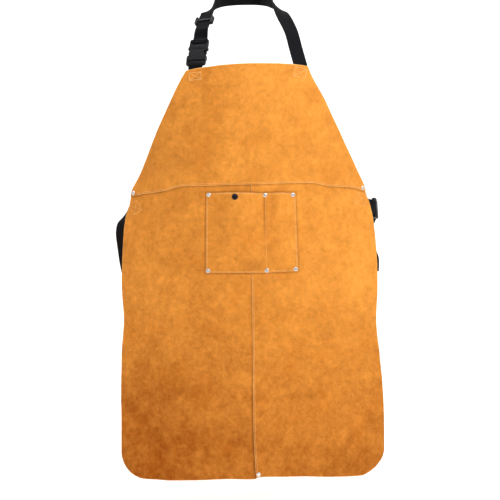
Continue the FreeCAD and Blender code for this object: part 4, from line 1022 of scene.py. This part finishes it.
stations = [
    back_middle, ((110.0, 168.0, -243.0), (0, 0.05, 1)),
    ((205.0, 148.0, -218.0), (0.05, 0.1, 1)), ((257.0, 141.0, -160.0), (0.0, 0.45, 0.9)),
    ((284.0, 128.0, -100.0), (0.0, 0.5, 0.85)), ((298.0, 105.0, -57.0), (0.0, 0.35, 0.93)),
]
stations += local(waist, -waist.x, (86, LEG), (77.3, LEG))
stations += plug_turn(waist, -waist.x, LEG)
stations += local(waist, -waist.x, (77.3, -LEG))
strap("waist_belt_right", stations, step=1.4, bodies=("waist_belt", "waist_male"),
      start=(150.0, 160.0, -236.0), end=waist(84.0, LEG), replaces=["waist_strap_loop"],
      first=back_way, last=waist.y)


def down_turn(radius=18.0, angle=math.radians(115), ramp=5.0, inward=13.5):
    """An edgewise turn whose curvature grows and dies away over the ramps."""
    length = radius * angle + ramp
    count = int(round(length / 2.0)) * 2
    step = length / count
    point, heading, stations = waist(77.4, -LEG), 0.0, []
    for i in range(count + 1):
        if i % 2 == 0:
            width = waist.x * math.cos(heading) - waist.y * math.sin(heading)
            stations.append((point - waist.z * (inward * ease(i / count)), width))
        travel = (i + 0.5) * step
        curvature = min(1.0, travel / ramp, (length - travel) / ramp) / radius
        middle = heading + curvature * step / 2
        point = point + (waist.y * math.cos(middle) + waist.x * math.sin(middle)) * step
        heading += curvature * step
    return stations


# the belt's loose end, hanging from the right buckle
stations = down_turn() + [
    ((287.0, 84.6, -86.3), (-0.10, -0.88, 0.46)), ((284.6, 78.3, -102.0), (0.08, -0.93, 0.36)),
    ((284.4, 74.8, -120.0), (0.28, -0.94, 0.18)), ((289.4, 72.2, -140.0), (0.50, -0.85, 0.10)),
    ((294.3, 70.7, -158.0), (0.62, -0.78, 0.05)), ((294.4, 69.8, -174.0), (0.66, -0.75, 0.0)),
    ((293.9, 69.2, -189.0), (0.66, -0.75, 0.0)),
]
strap("waist_tail", stations, step=1.4, bodies=("waist_male", "waist_tail"),
      start=waist(78.0, -LEG), end=(291.0, 90.0, -66.0), replaces=["waist_strap_tail"],
      first=waist.y)

# ------------------------------------------------------------------ pocket mouth
# the pocket and its stitches have their transforms baked, and the loaded pocket panel is hidden
mouth = np.array([0.0, float(body_y(0.0, SNAP[1])), SNAP[1]])
mouth_way = unit((0.0, -1.0, float((body_y(0.0, -20.0) - body_y(0.0, -180.0)) / 160.0)))
MOUTH_STILL, MOUTH_FREE = 4.4, 15.2     # heights off the body, passed to blend as its start and end
for obj, shift, slot, replaced in ((pocket, LEATHER / 2, "split_leather", ["pocket_panel"]),
                                   (pocket_thread, LEATHER, "thread", [])):
    blend(obj, "apron", "pocket_mouth", mouth + mouth_way * (MOUTH_STILL + shift),
          mouth + mouth_way * (MOUTH_FREE + shift))
    register(obj, replaces=replaced)


# ------------------------------------------------------------------ hardware
def turned_rings(name, places, profile, material, segments=40):
    """A turned ring at each (point, axis); the closed profile is (radius, height)."""
    verts, faces = [], []
    count = len(profile)
    for centre, axis in places:
        axis = unit(axis)
        base = len(verts)
        side = unit(np.cross(axis, (0.0, 0.0, 1.0)))
        up = np.cross(axis, side)
        for k in range(segments):
            angle = 2 * math.pi * k / segments
            spoke = side * math.cos(angle) + up * math.sin(angle)
            verts += [centre + spoke * radius + axis * height for radius, height in profile]
        for k in range(segments):
            here, there = base + k * count, base + (k + 1) % segments * count
            for i in range(count):
                i2 = (i + 1) % count
                faces.append((here + i, here + i2, there + i2, there + i))
    return new_object(name, verts, faces, material)


def rivet_place(x, z):
    """Point and axis on the outer face of the leather at a rivet."""
    cover = float(seam_cover(x, z)) if x > float(SEAM(z)) + LAP else 0.0
    return on_body(x, z, cover + 2 * LEATHER + GAP), body_normal(x, z)


# ring profiles: radius, height
RIVET_LIP = [(3.6, -0.35), (4.35, -0.40), (4.85, -0.15), (5.0, 0.15), (4.85, 0.45),
             (4.5, 0.62), (4.2, 0.60), (3.6, 0.55)]
SNAP_LIP = [(5.6, -0.30), (6.5, -0.35), (6.95, -0.05), (7.05, 0.3), (6.85, 0.7), (6.5, 0.9),
            (5.9, 0.8)]
for name, rivets in (("pocket_rivet_lips", POCKET_RIVETS), ("seam_rivet_lips", SEAM_RIVETS)):
    lips = turned_rings(name, [rivet_place(x, z) for x, z in rivets], RIVET_LIP, NICKEL)
    register(lips, "apron")
snap_y = float(body_y(*SNAP)) - (LAYER + float(pocket_bulge(*SNAP)) + LEATHER)
snap_lip = turned_rings("snap_cap_lip", [(np.array((SNAP[0], snap_y, SNAP[1])), (0, -1, 0))],
                        SNAP_LIP, GUNMETAL)
register(snap_lip, "pocket_mouth")


def moulded(name, place, bars, body):
    """Moulded bars across a buckle: flat tops, rounded edges, ends that drop to the shell."""
    verts, faces = [], []
    turns = (0.0, 0.4, 0.8, 1.2, math.pi / 2)
    for y0, y1, half, z0, z1 in bars:
        r = min(0.42, (y1 - y0) / 2.4, (z1 - z0) * 0.6)
        profile = [(y0, z0)]
        profile += [(y0 + r - r * math.cos(a), z1 - r + r * math.sin(a)) for a in turns]
        profile += [(y1 - r + r * math.sin(a), z1 - r + r * math.cos(a)) for a in turns]
        profile += [(y1, z0)]
        count, first = len(profile), len(verts)
        # x, share of the full height
        drop = [(-half, 0.30), (-half + 0.25, 0.70), (-half + 0.7, 0.94), (-half + 1.3, 1.0)]
        cuts = drop + [(x, 1.0) for x in np.linspace(-half + 3.0, half - 3.0, 9)]
        cuts += [(-x, share) for x, share in reversed(drop)]
        for x, share in cuts:
            verts += [place(y, z0 + (z - z0) * share, x) for y, z in profile]
        last = first + (len(cuts) - 1) * count
        for i in range(first, last, count):
            for j in range(count):
                a, b = i + j, i + (j + 1) % count
                faces.append((a, a + count, b + count, b))
        faces.append(tuple(first + j for j in range(count)))
        faces.append(tuple(last + j for j in reversed(range(count))))
    register(new_object(name, verts, faces, PLASTIC), body)


# bars in a buckle's frame: y start, y end, half length in x, z bottom, z top
SHELL_RIBS = [(46.6, 48.0, 17.2, 4.6, 5.55), (43.2, 44.6, 17.2, 4.6, 5.55),
              (12.8, 14.0, 17.0, 4.6, 5.45)]
STRAP_BARS = [(67.6, 69.8, 20.6, 3.3, 5.1), (62.6, 64.4, 20.6, 3.3, 5.0)]
for tag, place, shell in (("neck", neck, "neck_loop"), ("waist", waist, "waist_belt")):
    moulded(tag + "_buckle_shell_ribs", place, SHELL_RIBS, shell)
    moulded(tag + "_buckle_strap_bars", place, STRAP_BARS, tag + "_male")

# the loaded pieces that still show: metal rivets and snap, and plastic with softened edges
for name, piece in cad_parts.items():
    if piece.hide_render:
        continue
    material = NICKEL if "rivet" in name else GUNMETAL if "snap" in name else PLASTIC
    piece.data.materials.clear()
    piece.data.materials.append(material)
    if material is PLASTIC:
        weld = piece.modifiers.new("weld", "WELD")
        weld.merge_threshold = 0.00001
        bevel = piece.modifiers.new("edge", "BEVEL")
        bevel.width = 0.00055
        bevel.segments = 2
        bevel.limit_method = "ANGLE"
        bevel.angle_limit = math.radians(38)
        bevel.harden_normals = False


# ------------------------------------------------------------------ stage
def paper():
    """Pale paper that shows from its front only, so the apron can be seen from behind."""
    s = Shader("pale_paper")
    cloud = s.noise(s.coords(), scale=3.0, detail=2.0, rough=0.5)
    s.finish(Base_Color=s.mix(cloud, (0.90, 0.90, 0.895), (0.93, 0.93, 0.925)),
             Roughness=0.85, Specular_IOR_Level=0.1)
    geometry, clear, both = (s.node(k) for k in ("NewGeometry", "BsdfTransparent", "MixShader"))
    for socket, value in zip(both.inputs, (geometry.outputs["Backfacing"], s.bsdf.outputs[0],
                                           clear.outputs[0])):
        s.put(socket, value)
    s.put(s.out.inputs[0], both.outputs[0])
    return s.mat


def sweep():
    """Floor curving up into a wall behind."""
    front, bend, radius, floor_z = -6000.0, 1200.0, 900.0, -700.0
    wall_top, half_width = 5000.0, 7000.0
    profile = [(front, floor_z), (bend, floor_z)]
    for k in range(1, 13):
        angle = math.pi / 2 * k / 12
        profile.append((bend + radius * math.sin(angle),
                        floor_z + radius * (1 - math.cos(angle))))
    profile.append((bend + radius, wall_top))
    count = len(profile)
    verts = [(x, y, z) for x in (-half_width, half_width) for y, z in profile]
    faces = [(i, count + i, count + i + 1, i + 1) for i in range(count - 1)]
    new_object("floor_sweep", verts, faces, paper())


def studio():
    """White world, brighter to the camera than as a light."""
    as_light, to_camera = 0.30, 0.95
    world = bpy.data.worlds.new("studio")
    world.use_nodes = True
    nodes, links = world.node_tree.nodes, world.node_tree.links
    sky = nodes["Background"]
    sky.inputs[0].default_value = (1, 1, 1, 1)
    path, strength = nodes.new("ShaderNodeLightPath"), nodes.new("ShaderNodeMapRange")
    links.new(path.outputs["Is Camera Ray"], strength.inputs["Value"])
    strength.inputs["To Min"].default_value = as_light
    strength.inputs["To Max"].default_value = to_camera
    links.new(strength.outputs["Result"], sky.inputs[1])
    bpy.context.scene.world = world


sweep()
studio()
# area lights: name, location and target in metres, size in metres, power in watts
LIGHTS = [
    ("key", (1.9, -2.4, 1.6), (0, -0.1, -0.15), (1.1, 1.1), 44),
    ("top", (0.35, -2.9, 1.35), (0, -0.1, -0.1), (0.7, 0.7), 15),
    ("fill", (-2.4, -2.6, 0.6), (0, -0.1, -0.2), (2.2, 2.2), 17),
    ("back_left", (-2.2, 1.0, 1.2), (0, 0, 0), (1.2, 1.8), 8),
    ("back_right", (2.2, 1.0, 1.2), (0, 0, 0), (1.2, 1.8), 8),
    ("sweep", (0.0, 0.2, 2.6), (0, 1.8, 0.2), (3.0, 1.0), 95),
]
for name, location, target, size, power in LIGHTS:
    light = bpy.data.lights.new(name, "AREA")
    light.shape = "RECTANGLE"
    light.size, light.size_y = size
    light.energy = power
    lamp = bpy.data.objects.new(name, light)
    lamp.location = location
    way = Vector(target) - Vector(location)
    lamp.rotation_euler = way.to_track_quat("-Z", "Y").to_euler()
    bpy.context.scene.collection.objects.link(lamp)

VIEW_HALF_WIDTH, VIEW_DISTANCE = 552.5, 3000.0      # half the width seen at that distance
lens = bpy.data.cameras.new("camera")
lens.sensor_fit = "HORIZONTAL"
lens.angle = 2 * math.atan(VIEW_HALF_WIDTH / VIEW_DISTANCE)
camera = bpy.data.objects.new("camera", lens)
camera.location = (0.002, -3.130, -0.139)
camera.rotation_euler = (math.pi / 2, 0, 0)
bpy.context.scene.collection.objects.link(camera)
bpy.context.scene.camera = camera
bpy.context.scene.view_settings.view_transform = "Standard"
bpy.context.scene.view_settings.look = "None"
